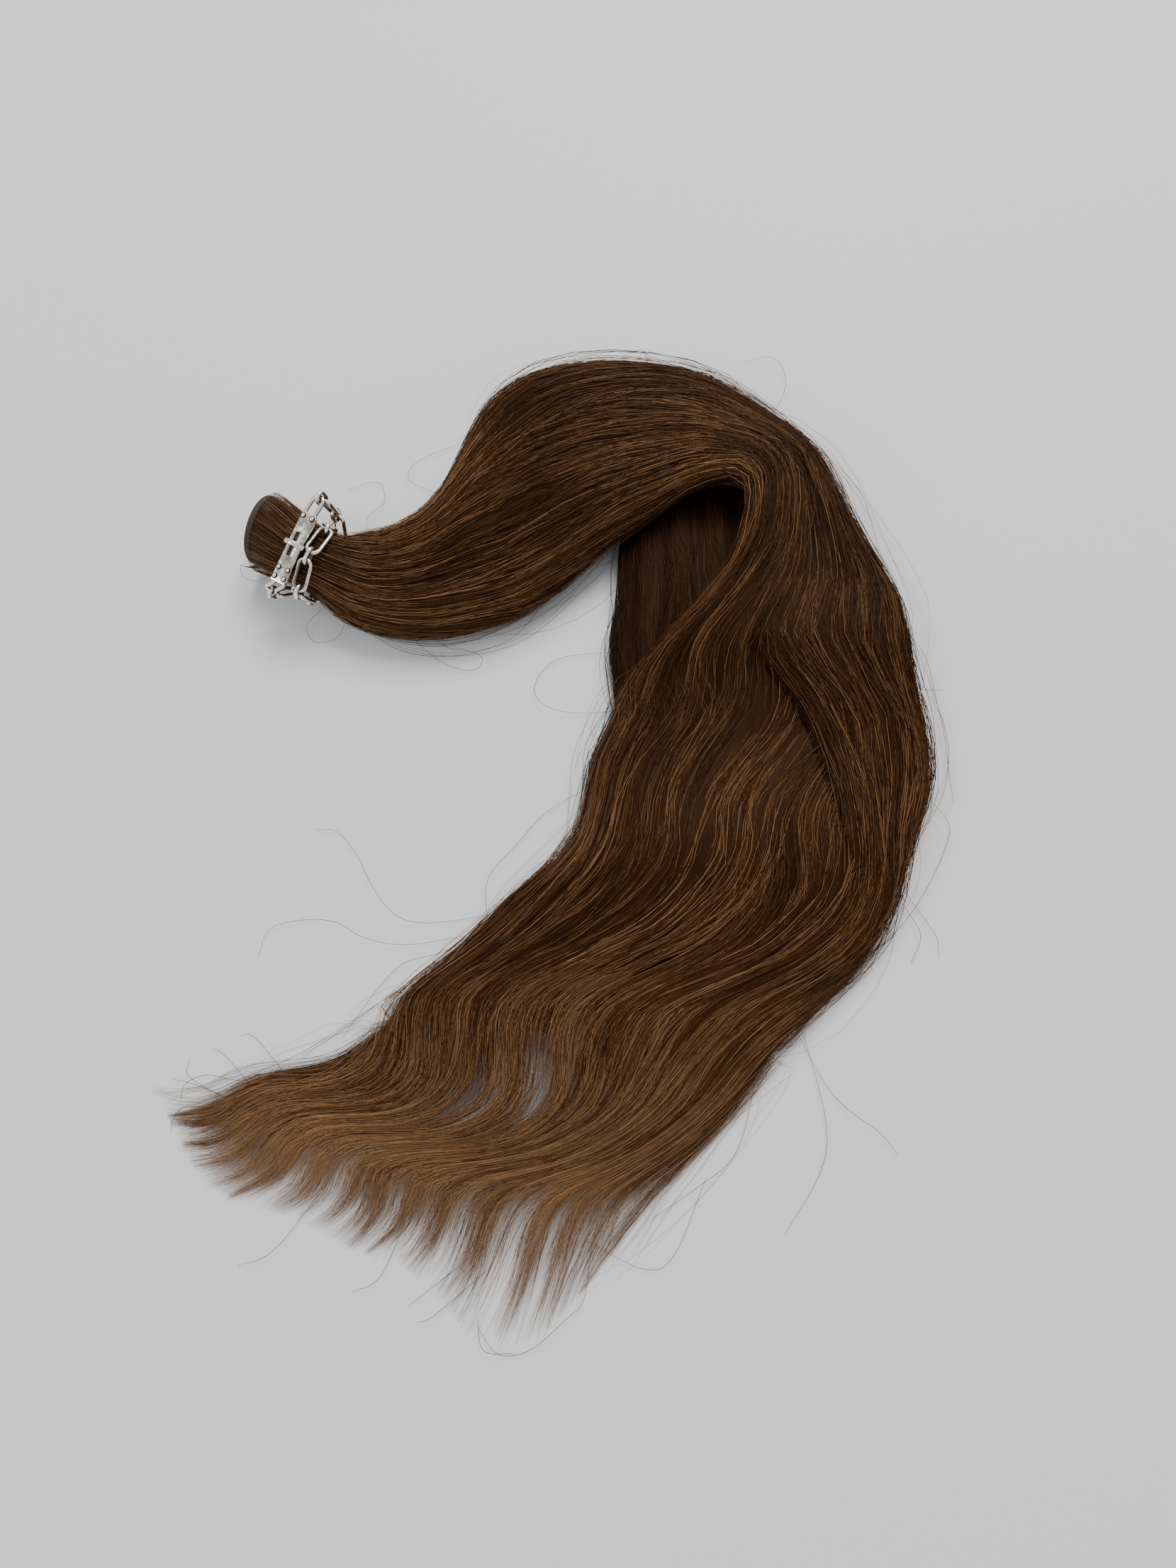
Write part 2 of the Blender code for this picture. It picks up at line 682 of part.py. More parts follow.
def base_bottom():
    return WAIST_RADIUS + GAP


def base_top():
    return base_bottom() + BASE_THICKNESS


def plate_bottom():
    return base_top() + GAP


def plate_top():
    return plate_bottom() + PLATE_THICKNESS


def bar_mesh(name, length, width, bottom, thickness):
    shape = bmesh.new()
    size = Matrix.Diagonal((length, width, thickness, 1.0))
    place = Matrix.Translation((0, 0, bottom + thickness / 2))
    bmesh.ops.create_cube(shape, size=1.0, matrix=place @ size)
    bmesh.ops.bevel(shape, geom=shape.edges[:], offset=PLATE_EDGE, segments=1, affect="EDGES")
    mesh = bpy.data.meshes.new(name)
    shape.to_mesh(mesh)
    shape.free()
    return mesh


def cylinder_mesh(name, x, y, bottom, top, radius):
    shape = bmesh.new()
    place = Matrix.Translation((x, y, (bottom + top) / 2))
    bmesh.ops.create_cone(shape, cap_ends=True, segments=ROUND_SIDES, radius1=radius,
                          radius2=radius, depth=top - bottom, matrix=place)
    mesh = bpy.data.meshes.new(name)
    shape.to_mesh(mesh)
    shape.free()
    return mesh


def wire_mesh(name, path, normals, radius, closed):
    """A round wire along a path. The normals hold its section upright."""
    skin = Skin()
    rings = []
    count = len(path)
    for i, centre in enumerate(path):
        if closed:
            run = path[(i + 1) % count] - path[i - 1]
        else:
            run = path[min(i + 1, count - 1)] - path[max(i - 1, 0)]
        run.normalize()
        normal = (normals[i] - run * normals[i].dot(run)).normalized()
        side = run.cross(normal)
        ring = []
        for step in range(WIRE_SIDES):
            angle = 2 * math.pi * step / WIRE_SIDES
            offset = (normal * math.cos(angle) + side * math.sin(angle)) * radius
            ring.append(skin.point((i, step), centre + offset))
        rings.append(ring)
    for first, second in zip(rings, rings[1:]):
        join_rings(skin, first, second)
    if closed:
        join_rings(skin, rings[-1], rings[0])
    else:
        skin.face(*rings[0])
        skin.face(*rings[-1])
    return mesh_of(name, skin.points, skin.faces)


def loop_path(start_x, reach, level, droop_deg, shift, width):
    """A U of wire from inside a bar's end. A negative start makes it leave the other end."""
    way = 1 if start_x > 0 else -1
    bend = (width - WIRE) / 2
    droop = math.radians(droop_deg)
    leg = [-LOOP_ROOT, LOOP_STRAIGHT, reach - bend - WIRE / 2]
    points = [(distance, bend) for distance in leg]
    for step in range(1, LINK_BEND_STEPS):
        angle = math.pi * step / LINK_BEND_STEPS
        points.append((reach - bend - WIRE / 2 + bend * math.sin(angle), bend * math.cos(angle)))
    points += [(distance, -bend) for distance in reversed(leg)]
    path = []
    for distance, sideways in points:
        beyond = max(0.0, distance - LOOP_STRAIGHT)
        slide = shift * min(1.0, beyond / (reach / 2))
        x = start_x + way * (distance - beyond + beyond * math.cos(droop))
        path.append(Vector((x, sideways + slide, level - beyond * math.sin(droop))))
    return path


def loop_end(start_x, reach, level, droop_deg, shift):
    """The middle of the wire at the far end of a loop."""
    way = 1 if start_x > 0 else -1
    droop = math.radians(droop_deg)
    beyond = reach - WIRE / 2 - LOOP_STRAIGHT
    x = start_x + way * (LOOP_STRAIGHT + beyond * math.cos(droop))
    return Vector((x, shift, level - beyond * math.sin(droop)))


def stirrup():
    level = (plate_bottom() + plate_top()) / 2
    return PLATE_LENGTH / 2, STIRRUP_REACH, level, STIRRUP_DROOP_DEG, 0.0


def front_loop():
    level = (base_bottom() + base_top()) / 2
    return -BASE_LENGTH / 2, FRONT_LOOP_REACH, level, FRONT_LOOP_DROOP_DEG, FRONT_LOOP_SHIFT


def rivet_places():
    places = []
    for inset in RIVET_ROWS_FROM_BACK:
        places += [(PLATE_LENGTH / 2 - inset, side * RIVET_SPREAD) for side in (-1, 1)]
    for inset in RIVET_ROWS_FROM_FRONT:
        places += [(inset - PLATE_LENGTH / 2, side * RIVET_SPREAD) for side in (-1, 1)]
    return places


def add_cut(target, name, mesh, place):
    helper = add_object(name, mesh, target.data.materials[0], place)
    fuse(target, helper, "DIFFERENCE")


def add_rivet_holes(target, bottom, top, place):
    for number, (x, y) in enumerate(rivet_places(), 1):
        name = f"helper_{target.name}_hole_{number}"
        hole = cylinder_mesh(name, x, y, bottom - CUT_MARGIN, top + CUT_MARGIN, RIVET_SHANK + GAP)
        add_cut(target, name, hole, place)


def make_clasp_plate(place, finish):
    plate = add_object("clasp_plate", bar_mesh("clasp_plate", PLATE_LENGTH, PLATE_WIDTH,
                                               plate_bottom(), PLATE_THICKNESS), finish, place)
    path = loop_path(*stirrup(), LOOP_WIDTH)
    wire = wire_mesh("stirrup", path, [Vector((0, 0, 1))] * len(path), WIRE / 2, False)
    fuse(plate, add_object("helper_stirrup", wire, finish, place))
    slot = bmesh.new()
    size = Matrix.Diagonal((SLOT_LENGTH, SLOT_WIDTH, PLATE_THICKNESS + 2 * CUT_MARGIN, 1.0))
    middle = Matrix.Translation((SLOT_SHIFT, 0, (plate_bottom() + plate_top()) / 2))
    bmesh.ops.create_cube(slot, size=1.0, matrix=middle @ size)
    mesh = bpy.data.meshes.new("slot")
    slot.to_mesh(mesh)
    slot.free()
    add_cut(plate, "helper_slot", mesh, place)
    add_rivet_holes(plate, plate_bottom(), plate_top(), place)
    return plate


def make_clasp_base(place, finish):
    base = add_object("clasp_base", bar_mesh("clasp_base", BASE_LENGTH, BASE_WIDTH,
                                             base_bottom(), BASE_THICKNESS), finish, place)
    path = loop_path(*front_loop(), LOOP_WIDTH)
    wire = wire_mesh("front_loop", path, [Vector((0, 0, 1))] * len(path), WIRE / 2, False)
    fuse(base, add_object("helper_front_loop", wire, finish, place))
    add_rivet_holes(base, base_bottom(), base_top(), place)
    seat = cylinder_mesh("seat", SLOT_SHIFT, 0.0, base_bottom() - CUT_MARGIN,
                         base_top() + CUT_MARGIN, KNOB_STEM + GAP)
    add_cut(base, "helper_knob_seat", seat, place)
    return base


def make_rivets(place, finish):
    """Domed rivets. Each shank goes through the plate and the base."""
    seat = plate_top() + GAP
    profile = [(RIVET_SHANK, base_bottom()), (RIVET_SHANK, seat), (RIVET_HEAD, seat),
               (RIVET_HEAD * RIVET_SHOULDER, seat + RIVET_RISE * RIVET_SHOULDER)]
    for number, (x, y) in enumerate(rivet_places(), 1):
        skin = Skin()
        rings = []
        for i, (radius, height) in enumerate(profile):
            ring = []
            for step in range(ROUND_SIDES):
                angle = 2 * math.pi * step / ROUND_SIDES
                corner = Vector((x + radius * math.cos(angle), y + radius * math.sin(angle), height))
                ring.append(skin.point((i, step), corner))
            rings.append(ring)
        for first, second in zip(rings, rings[1:]):
            join_rings(skin, first, second)
        skin.face(*rings[0])
        crown = skin.point("crown", Vector((x, y, seat + RIVET_RISE)))
        for i, corner in enumerate(rings[-1]):
            skin.face(rings[-1][i - 1], corner, crown)
        add_object(f"rivet_{number}", mesh_of("rivet", skin.points, skin.faces), finish, place)


def knob_mesh():
    """An arched strip across the slot, in a frame whose Z axis is the axis that it turns on."""
    low = plate_top() + GAP
    upper = []
    lower = []
    for i in range(KNOB_STEPS + 1):
        share = 2 * i / KNOB_STEPS - 1
        height = low + KNOB_RISE * (1 - abs(share) ** KNOB_ARCH)
        upper.append(Vector((0, share * KNOB_LENGTH / 2, height + KNOB_STRIP)))
        lower.append(Vector((0, share * (KNOB_LENGTH - KNOB_STRIP) / 2, height)))
    skin = Skin()
    rings = []
    for i in range(KNOB_STEPS + 1):
        ring = []
        for k, (line, side) in enumerate(((upper, 1), (upper, -1), (lower, -1), (lower, 1))):
            ring.append(skin.point((i, k), line[i] + Vector((side * KNOB_WIDTH / 2, 0, 0))))
        rings.append(ring)
    for first, second in zip(rings, rings[1:]):
        join_rings(skin, first, second)
    skin.face(*rings[0])
    skin.face(*rings[-1])
    return mesh_of("turn_knob", skin.points, skin.faces)


def make_knob(place, finish):
    knob = add_object("turn_knob", knob_mesh(), finish, place)
    knob.location = (SLOT_SHIFT, 0.0, 0.0)
    top = plate_top() + GAP + KNOB_RISE + KNOB_STRIP / 2
    stem = add_object("helper_stem", cylinder_mesh("stem", 0.0, 0.0, base_bottom(), top, KNOB_STEM),
                      finish, place)
    stem.location = knob.location
    fuse(knob, stem)
    return knob


# The chain.

def link_mesh(name, centre, lengthwise, normal, length, width):
    """A closed oval link with straight sides."""
    side = normal.cross(lengthwise)
    bend = (width - WIRE) / 2
    straight = (length - width) / 2
    path = []
    for end in (1, -1):
        for step in range(LINK_BEND_STEPS + 1):
            angle = math.pi * step / LINK_BEND_STEPS
            place = lengthwise * end * (straight + bend * math.sin(angle))
            path.append(centre + place + side * end * bend * math.cos(angle))
    return wire_mesh(name, path, [normal] * len(path), WIRE / 2, True)


def chain_joints(way, spans):
    """Points where links meet. Each is a straight span from the last one, along the way."""
    joints = [way[0]]
    place = 0
    for span in spans:
        while place < len(way) and (way[place] - joints[-1]).length < span:
            place += 1
        if place == len(way):
            return joints, True
        before = (way[place - 1] - joints[-1]).length
        after = (way[place] - joints[-1]).length
        joints.append(way[place - 1].lerp(way[place], (span - before) / (after - before)))
    return joints, False


def chain_spans(count, play):
    """Free lengths of the links in turn, which start and end with a short one.

    The first turn hangs a little slack and the second one is tighter.
    """
    spans = []
    for i in range(count):
        length = LONG_LINK if i % 2 else SHORT_LINK
        slack = SLACK if i < count // 2 else -SLACK
        spans.append(length - 2 * WIRE - play - slack)
    return spans


def fitted_chain(way):
    """Joints of the chain that just fills the way, by easing the play between the links."""
    total = sum((b - a).length for a, b in zip(way, way[1:]))
    pair = sum(chain_spans(2, LINK_PLAY))
    pairs = round((total - chain_spans(1, LINK_PLAY)[0]) / pair)
    count = 2 * pairs + 1
    low = -LINK_PLAY
    high = MOST_PLAY
    for _ in range(FITTING_ROUNDS):
        play = (low + high) / 2
        if chain_joints(way, chain_spans(count, play))[1]:
            low = play
        else:
            high = play
    return chain_joints(way, chain_spans(count, high))[0]


def chain_way(frame):
    """The chain's smooth way between the two loops of the clasp.

    An end link hooks round the wire of its loop, so the way starts a little behind that wire.
    """
    stirrup_wire = frame @ loop_end(*stirrup())
    front_wire = frame @ loop_end(*front_loop())
    route = [on_neck(*row) for row in CHAIN_ROUTE]
    hooked = (WIRE + LINK_PLAY) / 2
    start = stirrup_wire - (route[0] - stirrup_wire).normalized() * hooked
    end = front_wire + (front_wire - route[-1]).normalized() * hooked
    return smooth_path([start, *route, end], ROUTE_STEPS)


def make_chain(place, frame, finish):
    """Long links lie flat round the neck and short ones stand on edge between them."""
    joints = fitted_chain(chain_way(frame))
    along = axes(NECK_TURN_DEG)[0]
    for number, (first, second) in enumerate(zip(joints, joints[1:])):
        centre = (first + second) / 2
        lengthwise = (second - first).normalized()
        from_axis = centre - neck_centre()
        outward = from_axis - along * from_axis.dot(along)
        outward = (outward - lengthwise * outward.dot(lengthwise)).normalized()
        if number % 2:
            name = f"long_link_{number // 2 + 1}"
            mesh = link_mesh(name, centre, lengthwise, outward, LONG_LINK, LONG_LINK_WIDTH)
        else:
            name = f"short_link_{number // 2 + 1}"
            edgewise = lengthwise.cross(outward)
            mesh = link_mesh(name, centre, lengthwise, edgewise, SHORT_LINK, SHORT_LINK_WIDTH)
        add_object(name, mesh, finish, place)


def stand_on_origin(place):
    """Move the whole bundle so that the origin is at the bottom centre of its box."""
    bpy.context.view_layer.update()
    graph = bpy.context.evaluated_depsgraph_get()
    corners = []
    for thing in bpy.data.objects:
        if thing.type == "MESH" and not thing.hide_render:
            solid = thing.evaluated_get(graph)
            corners += [solid.matrix_world @ v.co for v in solid.data.vertices]
    lowest = Vector([min(c[k] for c in corners) for k in range(3)])
    highest = Vector([max(c[k] for c in corners) for k in range(3)])
    middle = (lowest + highest) / 2
    place.location = (-middle.x, -middle.y, -lowest.z)


def main():
    clear_scene()
    place = bpy.data.objects.new("table_place", None)
    bpy.context.scene.collection.objects.link(place)
    clasp = bpy.data.objects.new("clasp_place", None)
    bpy.context.scene.collection.objects.link(clasp)
    clasp.parent = place
    frame = clasp_frame()
    clasp.matrix_local = frame
    finish = old_silver()
    make_hair(place)
    make_track(place)
    make_clasp_plate(clasp, finish)
    make_clasp_base(clasp, finish)
    make_rivets(clasp, finish)
    make_knob(clasp, finish)
    make_chain(place, frame, finish)
    stand_on_origin(place)


main()
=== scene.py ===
# %% [markdown]
# # A weft of long hair, tied with a chain
#
# The object is a bundle of long wavy brown hair on a table. Its sewn track is rolled into a short
# drum, and a silver chain with a turn lock is wound twice round the neck of the bundle. The packed
# model gives the pieces their size and place. This script gives them their looks: thousands of
# strands that lie along the hair, worn silver, and a stitched track.

import math

import bmesh
import bpy
import numpy as np
from mathutils import Matrix, Vector


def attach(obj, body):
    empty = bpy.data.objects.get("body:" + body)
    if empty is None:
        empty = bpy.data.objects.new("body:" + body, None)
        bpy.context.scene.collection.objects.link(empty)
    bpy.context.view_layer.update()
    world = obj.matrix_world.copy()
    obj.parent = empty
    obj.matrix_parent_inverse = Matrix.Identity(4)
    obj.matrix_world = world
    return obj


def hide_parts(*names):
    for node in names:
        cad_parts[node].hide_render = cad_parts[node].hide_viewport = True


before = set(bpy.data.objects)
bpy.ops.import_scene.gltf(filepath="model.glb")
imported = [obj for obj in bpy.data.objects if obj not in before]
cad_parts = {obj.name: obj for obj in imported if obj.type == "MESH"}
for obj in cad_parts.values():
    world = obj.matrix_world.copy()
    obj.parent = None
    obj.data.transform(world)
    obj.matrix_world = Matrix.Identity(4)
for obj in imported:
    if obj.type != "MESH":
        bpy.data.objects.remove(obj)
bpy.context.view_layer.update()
MM = 0.001

# %% [markdown]
# The camera comes first. It looks down at the table, a little off the vertical, from about 37 cm
# above the near end of the hair. A real camera is described by its place, its tilt and its lens,
# so the script sets those three.

# %% Camera
CAMERA_PLACE = (7.2 * MM, -127.8 * MM, 365.0 * MM)
CAMERA_TILT_DEG = 20.0
LENS_MM = 27.03
SENSOR_MM = 36.0

eye = bpy.data.cameras.new("camera")
eye.sensor_fit = "VERTICAL"
eye.sensor_height = SENSOR_MM
eye.lens = LENS_MM
eye.clip_start = 0.01
camera = bpy.data.objects.new("camera", eye)
camera.location = CAMERA_PLACE
camera.rotation_euler = (math.radians(CAMERA_TILT_DEG), 0.0, 0.0)
bpy.context.scene.collection.objects.link(camera)
bpy.context.scene.camera = camera

# %% [markdown]
# ## Short calls
#
# A few steps are needed again and again. Materials and some of the shapes are trees of nodes. Such
# a tree can be drawn by hand in the node editor, or written down as calls. Written calls are easier
# to repeat and to check, so a small helper keeps them short: it makes a node, joins its inputs and
# gives back its output.

# %% Helpers for nodes
class Nodes:
    """Short calls that add nodes to a tree."""

    def __init__(self, group):
        self.group = group

    def join(self, node, inputs):
        for key, value in inputs.items():
            if isinstance(value, bpy.types.NodeSocket):
                self.group.links.new(value, node.inputs[key])
            else:
                node.inputs[key].default_value = value

    def node(self, kind, inputs, output=0, **settings):
        made = self.group.nodes.new(kind)
        for key, value in settings.items():
            setattr(made, key, value)
        self.join(made, inputs)
        return made.outputs[output]

    def math(self, operation, *values):
        return self.node("ShaderNodeMath", dict(enumerate(values)), operation=operation)

    def sum(self, first, *others):
        for value in others:
            first = self.math("ADD", first, value)
        return first

    def product(self, first, *others):
        for value in others:
            first = self.math("MULTIPLY", first, value)
        return first

    def minus(self, first, second):
        return self.math("SUBTRACT", first, second)

    def least(self, first, second):
        return self.math("MINIMUM", first, second)

    def most(self, first, second):
        return self.math("MAXIMUM", first, second)


class Finish(Nodes):
    """A material. The constants are set on its main shader."""

    def __init__(self, name, constants):
        self.material = bpy.data.materials.new(name)
        self.material.use_nodes = True
        super().__init__(self.material.node_tree)
        self.shader = self.group.nodes["Principled BSDF"]
        self.join(self.shader, constants)

    def attribute(self, name):
        return self.node("ShaderNodeAttribute", {}, "Fac", attribute_name=name)

    def noise(self, scale, detail=2.0):
        place = self.node("ShaderNodeTexCoord", {}, "Object")
        inputs = {"Vector": place, "Scale": scale, "Detail": detail}
        return self.node("ShaderNodeTexNoise", inputs, "Fac")

    def spread(self, value, low, high):
        inputs = {"Value": value, "To Min": low, "To Max": high}
        return self.node("ShaderNodeMapRange", inputs, "Result")

    def ramp(self, value, stops):
        made = self.group.nodes.new("ShaderNodeValToRGB")
        made.color_ramp.interpolation = "EASE"
        while len(made.color_ramp.elements) < len(stops):
            made.color_ramp.elements.new(0.5)
        for element, (place, colour) in zip(made.color_ramp.elements, stops):
            element.position = place
            element.color = (*colour, 1.0)
        self.join(made, {0: value})
        return made.outputs[0]

    def bump(self, height, strength, distance):
        inputs = {"Height": height, "Strength": strength, "Distance": distance}
        return self.node("ShaderNodeBump", inputs, "Normal")

    def done(self, **looks):
        """The material, once its last nodes are joined to the shader."""
        self.join(self.shader, {label.replace("_", " "): value for label, value in looks.items()})
        return self.material


class Tree(Nodes):
    """A Geometry Nodes tree with named inputs."""

    def __init__(self, name, sizes):
        super().__init__(bpy.data.node_groups.new(name, "GeometryNodeTree"))
        face = self.group.interface
        face.new_socket("Geometry", in_out="INPUT", socket_type="NodeSocketGeometry")
        for label, kind in sizes.items():
            face.new_socket(label, in_out="INPUT", socket_type="NodeSocket" + kind)
        face.new_socket("Geometry", in_out="OUTPUT", socket_type="NodeSocketGeometry")
        self.source = self.group.nodes.new("NodeGroupInput")
        self.result = self.group.nodes.new("NodeGroupOutput")

    def of(self, label):
        return self.source.outputs[label]

    def mix(self, share, low, high):
        return self.sum(low, self.product(share, self.minus(high, low)))

    def within(self, low, value, high):
        return self.least(high, self.most(low, value))

    def scaled(self, vector, factor):
        return self.node("ShaderNodeVectorMath", {0: vector, "Scale": factor}, operation="SCALE")

    def added(self, first, second):
        return self.node("ShaderNodeVectorMath", {0: first, 1: second}, operation="ADD")

    def vector(self, x, y, z=0.0):
        return self.node("ShaderNodeCombineXYZ", {0: x, 1: y, 2: z})

    def parts(self, vector):
        apart = self.group.nodes.new("ShaderNodeSeparateXYZ")
        self.join(apart, {0: vector})
        return apart.outputs

    def random(self, low, high, identity, seed):
        """One random number for each identity."""
        inputs = {2: low, 3: high, "ID": identity, "Seed": seed}
        return self.node("FunctionNodeRandomValue", inputs, 1, data_type="FLOAT")

    def drift(self, x, y, scale):
        """A smooth random number between about -1 and 1 that changes slowly with x and y."""
        inputs = {"Vector": self.vector(x, y), "Scale": scale, "Detail": 1.0}
        noise = self.node("ShaderNodeTexNoise", inputs, noise_dimensions="2D")
        return self.product(self.minus(noise, 0.5), 3.0)

    def named(self, name, kind="FLOAT"):
        return self.node("GeometryNodeInputNamedAttribute", {"Name": name}, data_type=kind)

    def store(self, geometry, name, value):
        inputs = {"Geometry": geometry, "Name": name, "Value": value}
        return self.node("GeometryNodeStoreNamedAttribute", inputs, data_type="FLOAT")

    def finish(self, geometry, material):
        real = self.node("GeometryNodeRealizeInstances", {0: geometry})
        smooth = self.node("GeometryNodeSetShadeSmooth", {0: real})
        dressed = self.node("GeometryNodeSetMaterial", {0: smooth, "Material": material})
        self.join(self.result, {0: dressed})


# %% [markdown]
# Meshes that follow rings of points share one way to lay their faces. What a tree or a curve makes
# is turned into a plain mesh, and every finished piece is joined to its body in the same way.

# %% Helpers for meshes
def link(thing):
    bpy.context.scene.collection.objects.link(thing)
    return thing


def new_mesh(name, corners, faces=()):
    mesh = bpy.data.meshes.new(name)
    mesh.from_pydata(np.reshape(corners, (-1, 3)).tolist(), [], list(faces))
    return mesh


def quads(rings, points, closed):
    """Faces between neighbouring rings of points."""
    return [(i * points + k, i * points + (k + 1) % points,
             (i + 1) * points + (k + 1) % points, (i + 1) * points + k)
            for i in range(rings - 1) for k in range(points if closed else points - 1)]


def flow_map(mesh, across, s, more=()):
    """A UV map that says how far across and how far along each corner of those faces lies."""
    places = [place for i in range(len(s) - 1) for left, right in zip(across, across[1:])
              for place in ((left, s[i]), (right, s[i]), (right, s[i + 1]), (left, s[i + 1]))]
    mesh.uv_layers.new(name="flow").data.foreach_set("uv", np.ravel(places + list(more)))


def carry(mesh, name, values, kind="FLOAT"):
    """Numbers or vectors that a mesh carries, one for each of its corners."""
    stored = mesh.attributes.new(name, kind, "POINT")
    stored.data.foreach_set("vector" if kind == "FLOAT_VECTOR" else "value", np.ravel(values))


def joined_meshes(name, meshes):
    shape = bmesh.new()
    for mesh in meshes:
        shape.from_mesh(mesh)
    whole = bpy.data.meshes.new(name)
    shape.to_mesh(whole)
    shape.free()
    return whole


def dressed(name, mesh, slot, *nodes, body="bundle"):
    """A finished piece on its body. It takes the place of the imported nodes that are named."""
    made = link(bpy.data.objects.new(name, mesh))
    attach(made, body)
    if nodes:
        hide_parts(*nodes)
    return made


def plain_mesh(source, name):
    """What an object's curve or modifier makes, as a mesh of its own."""
    bpy.context.view_layer.update()
    graph = bpy.context.evaluated_depsgraph_get()
    mesh = bpy.data.meshes.new_from_object(source.evaluated_get(graph), depsgraph=graph)
    mesh.name = name
    bpy.data.objects.remove(source)
    return mesh


def mesh_by(tree, name, mesh, sizes):
    """The plain mesh that a Geometry Nodes tree makes from a mesh with these sizes."""
    source = link(bpy.data.objects.new(name + "_source", mesh))
    step = source.modifiers.new("nodes", "NODES")
    step.node_group = tree.group
    for item in tree.group.interface.items_tree:
        if item.in_out == "INPUT" and item.name in sizes:
            step[item.identifier] = sizes[item.name]
    result = plain_mesh(source, name)
    result.calc_loop_triangles()
    print(name, "has", len(result.loop_triangles), "triangles")
    return result


# %% [markdown]
# ## Table and light
#
# The table is a plain pale surface. A pale floor throws light back into the hair from below, so
# its tone matters for the look of the hair too. The light is soft, like that of a window and a
# pale ceiling: one large lamp above, a second one from the side, and a pale sky.

# %% Table and lights
TABLE_SIZE = 3.0
TABLE_TONE = (0.65, 0.67)


def table_finish():
    finish = Finish("table_finish", {"Roughness": 0.6, "Specular IOR Level": 0.3})
    tone = finish.spread(finish.noise(900.0), *TABLE_TONE)
    channels = {"Red": tone, "Green": tone, "Blue": tone}
    return finish.done(Base_Color=finish.node("ShaderNodeCombineColor", channels, "Color"))


def lamp(name, place, size, power, warmth):
    """A square lamp that shines at the middle of the table."""
    light = bpy.data.lights.new(name, "AREA")
    light.size = size
    light.energy = power
    light.color = warmth
    made = link(bpy.data.objects.new(name, light))
    made.location = place
    made.rotation_euler = (-Vector(place)).to_track_quat("-Z", "Y").to_euler()


half = TABLE_SIZE / 2
sheet = new_mesh("table", [(-half, -half, 0), (half, -half, 0), (half, half, 0), (-half, half, 0)],
                 [(0, 1, 2, 3)])
sheet.materials.append(table_finish())
table = link(bpy.data.objects.new("table", sheet))

lamp("window_light", (0.5, 1.6, 2.1), 1.5, 74.0, (1.0, 0.99, 0.97))
lamp("side_light", (-1.9, -0.5, 1.7), 1.3, 22.0, (0.95, 0.98, 1.0))
sky = bpy.data.worlds.new("sky")
sky.use_nodes = True
glow = sky.node_tree.nodes["Background"]
glow.inputs["Color"].default_value = (0.96, 0.98, 1.0, 1.0)
glow.inputs["Strength"].default_value = 0.71
bpy.context.scene.world = sky

# %% [markdown]
# ## The lie of the hair
#
# Hair is thousands of strands, but they don't lie anyhow: they follow one smooth sheet that runs
# from the drum, along the arm, over the fold and down to the tips. So the sheet is made first. It
# is described by its cross sections, as a boat builder would: where each section's two edges are,
# how high they are, and how far the middle rises above them. The same sections made the solid in
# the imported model, so the sheet lies on that solid.

# %% Driving sizes of the hair
SPAN_ACROSS = 240.0 * MM
SPAN_ALONG = 330.0 * MM
PILE_HEIGHT = 30.0 * MM
TABLE_SHIFT = np.array((-0.84, 1.155, 0.0)) * MM
DRUM_RADIUS = 13.2 * MM
WAIST_RADIUS = 10.3 * MM
NECK_HEIGHT = 15.3 * MM
WAIST_ROOT_SIDE = 4.6 * MM
WAIST_HAIR_SIDE = 9.4 * MM
SHOULDER_FULLNESS = 2.4
DRUM_TURN_DEG = -19.5
NECK_TURN_DEG = -28.0
DRUM_PLACE = (-0.427, 0.277)
NECK_PLACE = (-0.362, 0.244)
OUTER_TUCK = 0.2
EDGE_CROWDING = 0.55
CROWN_FULLNESS = 2.4
FOOT_ROUNDING = 0.7

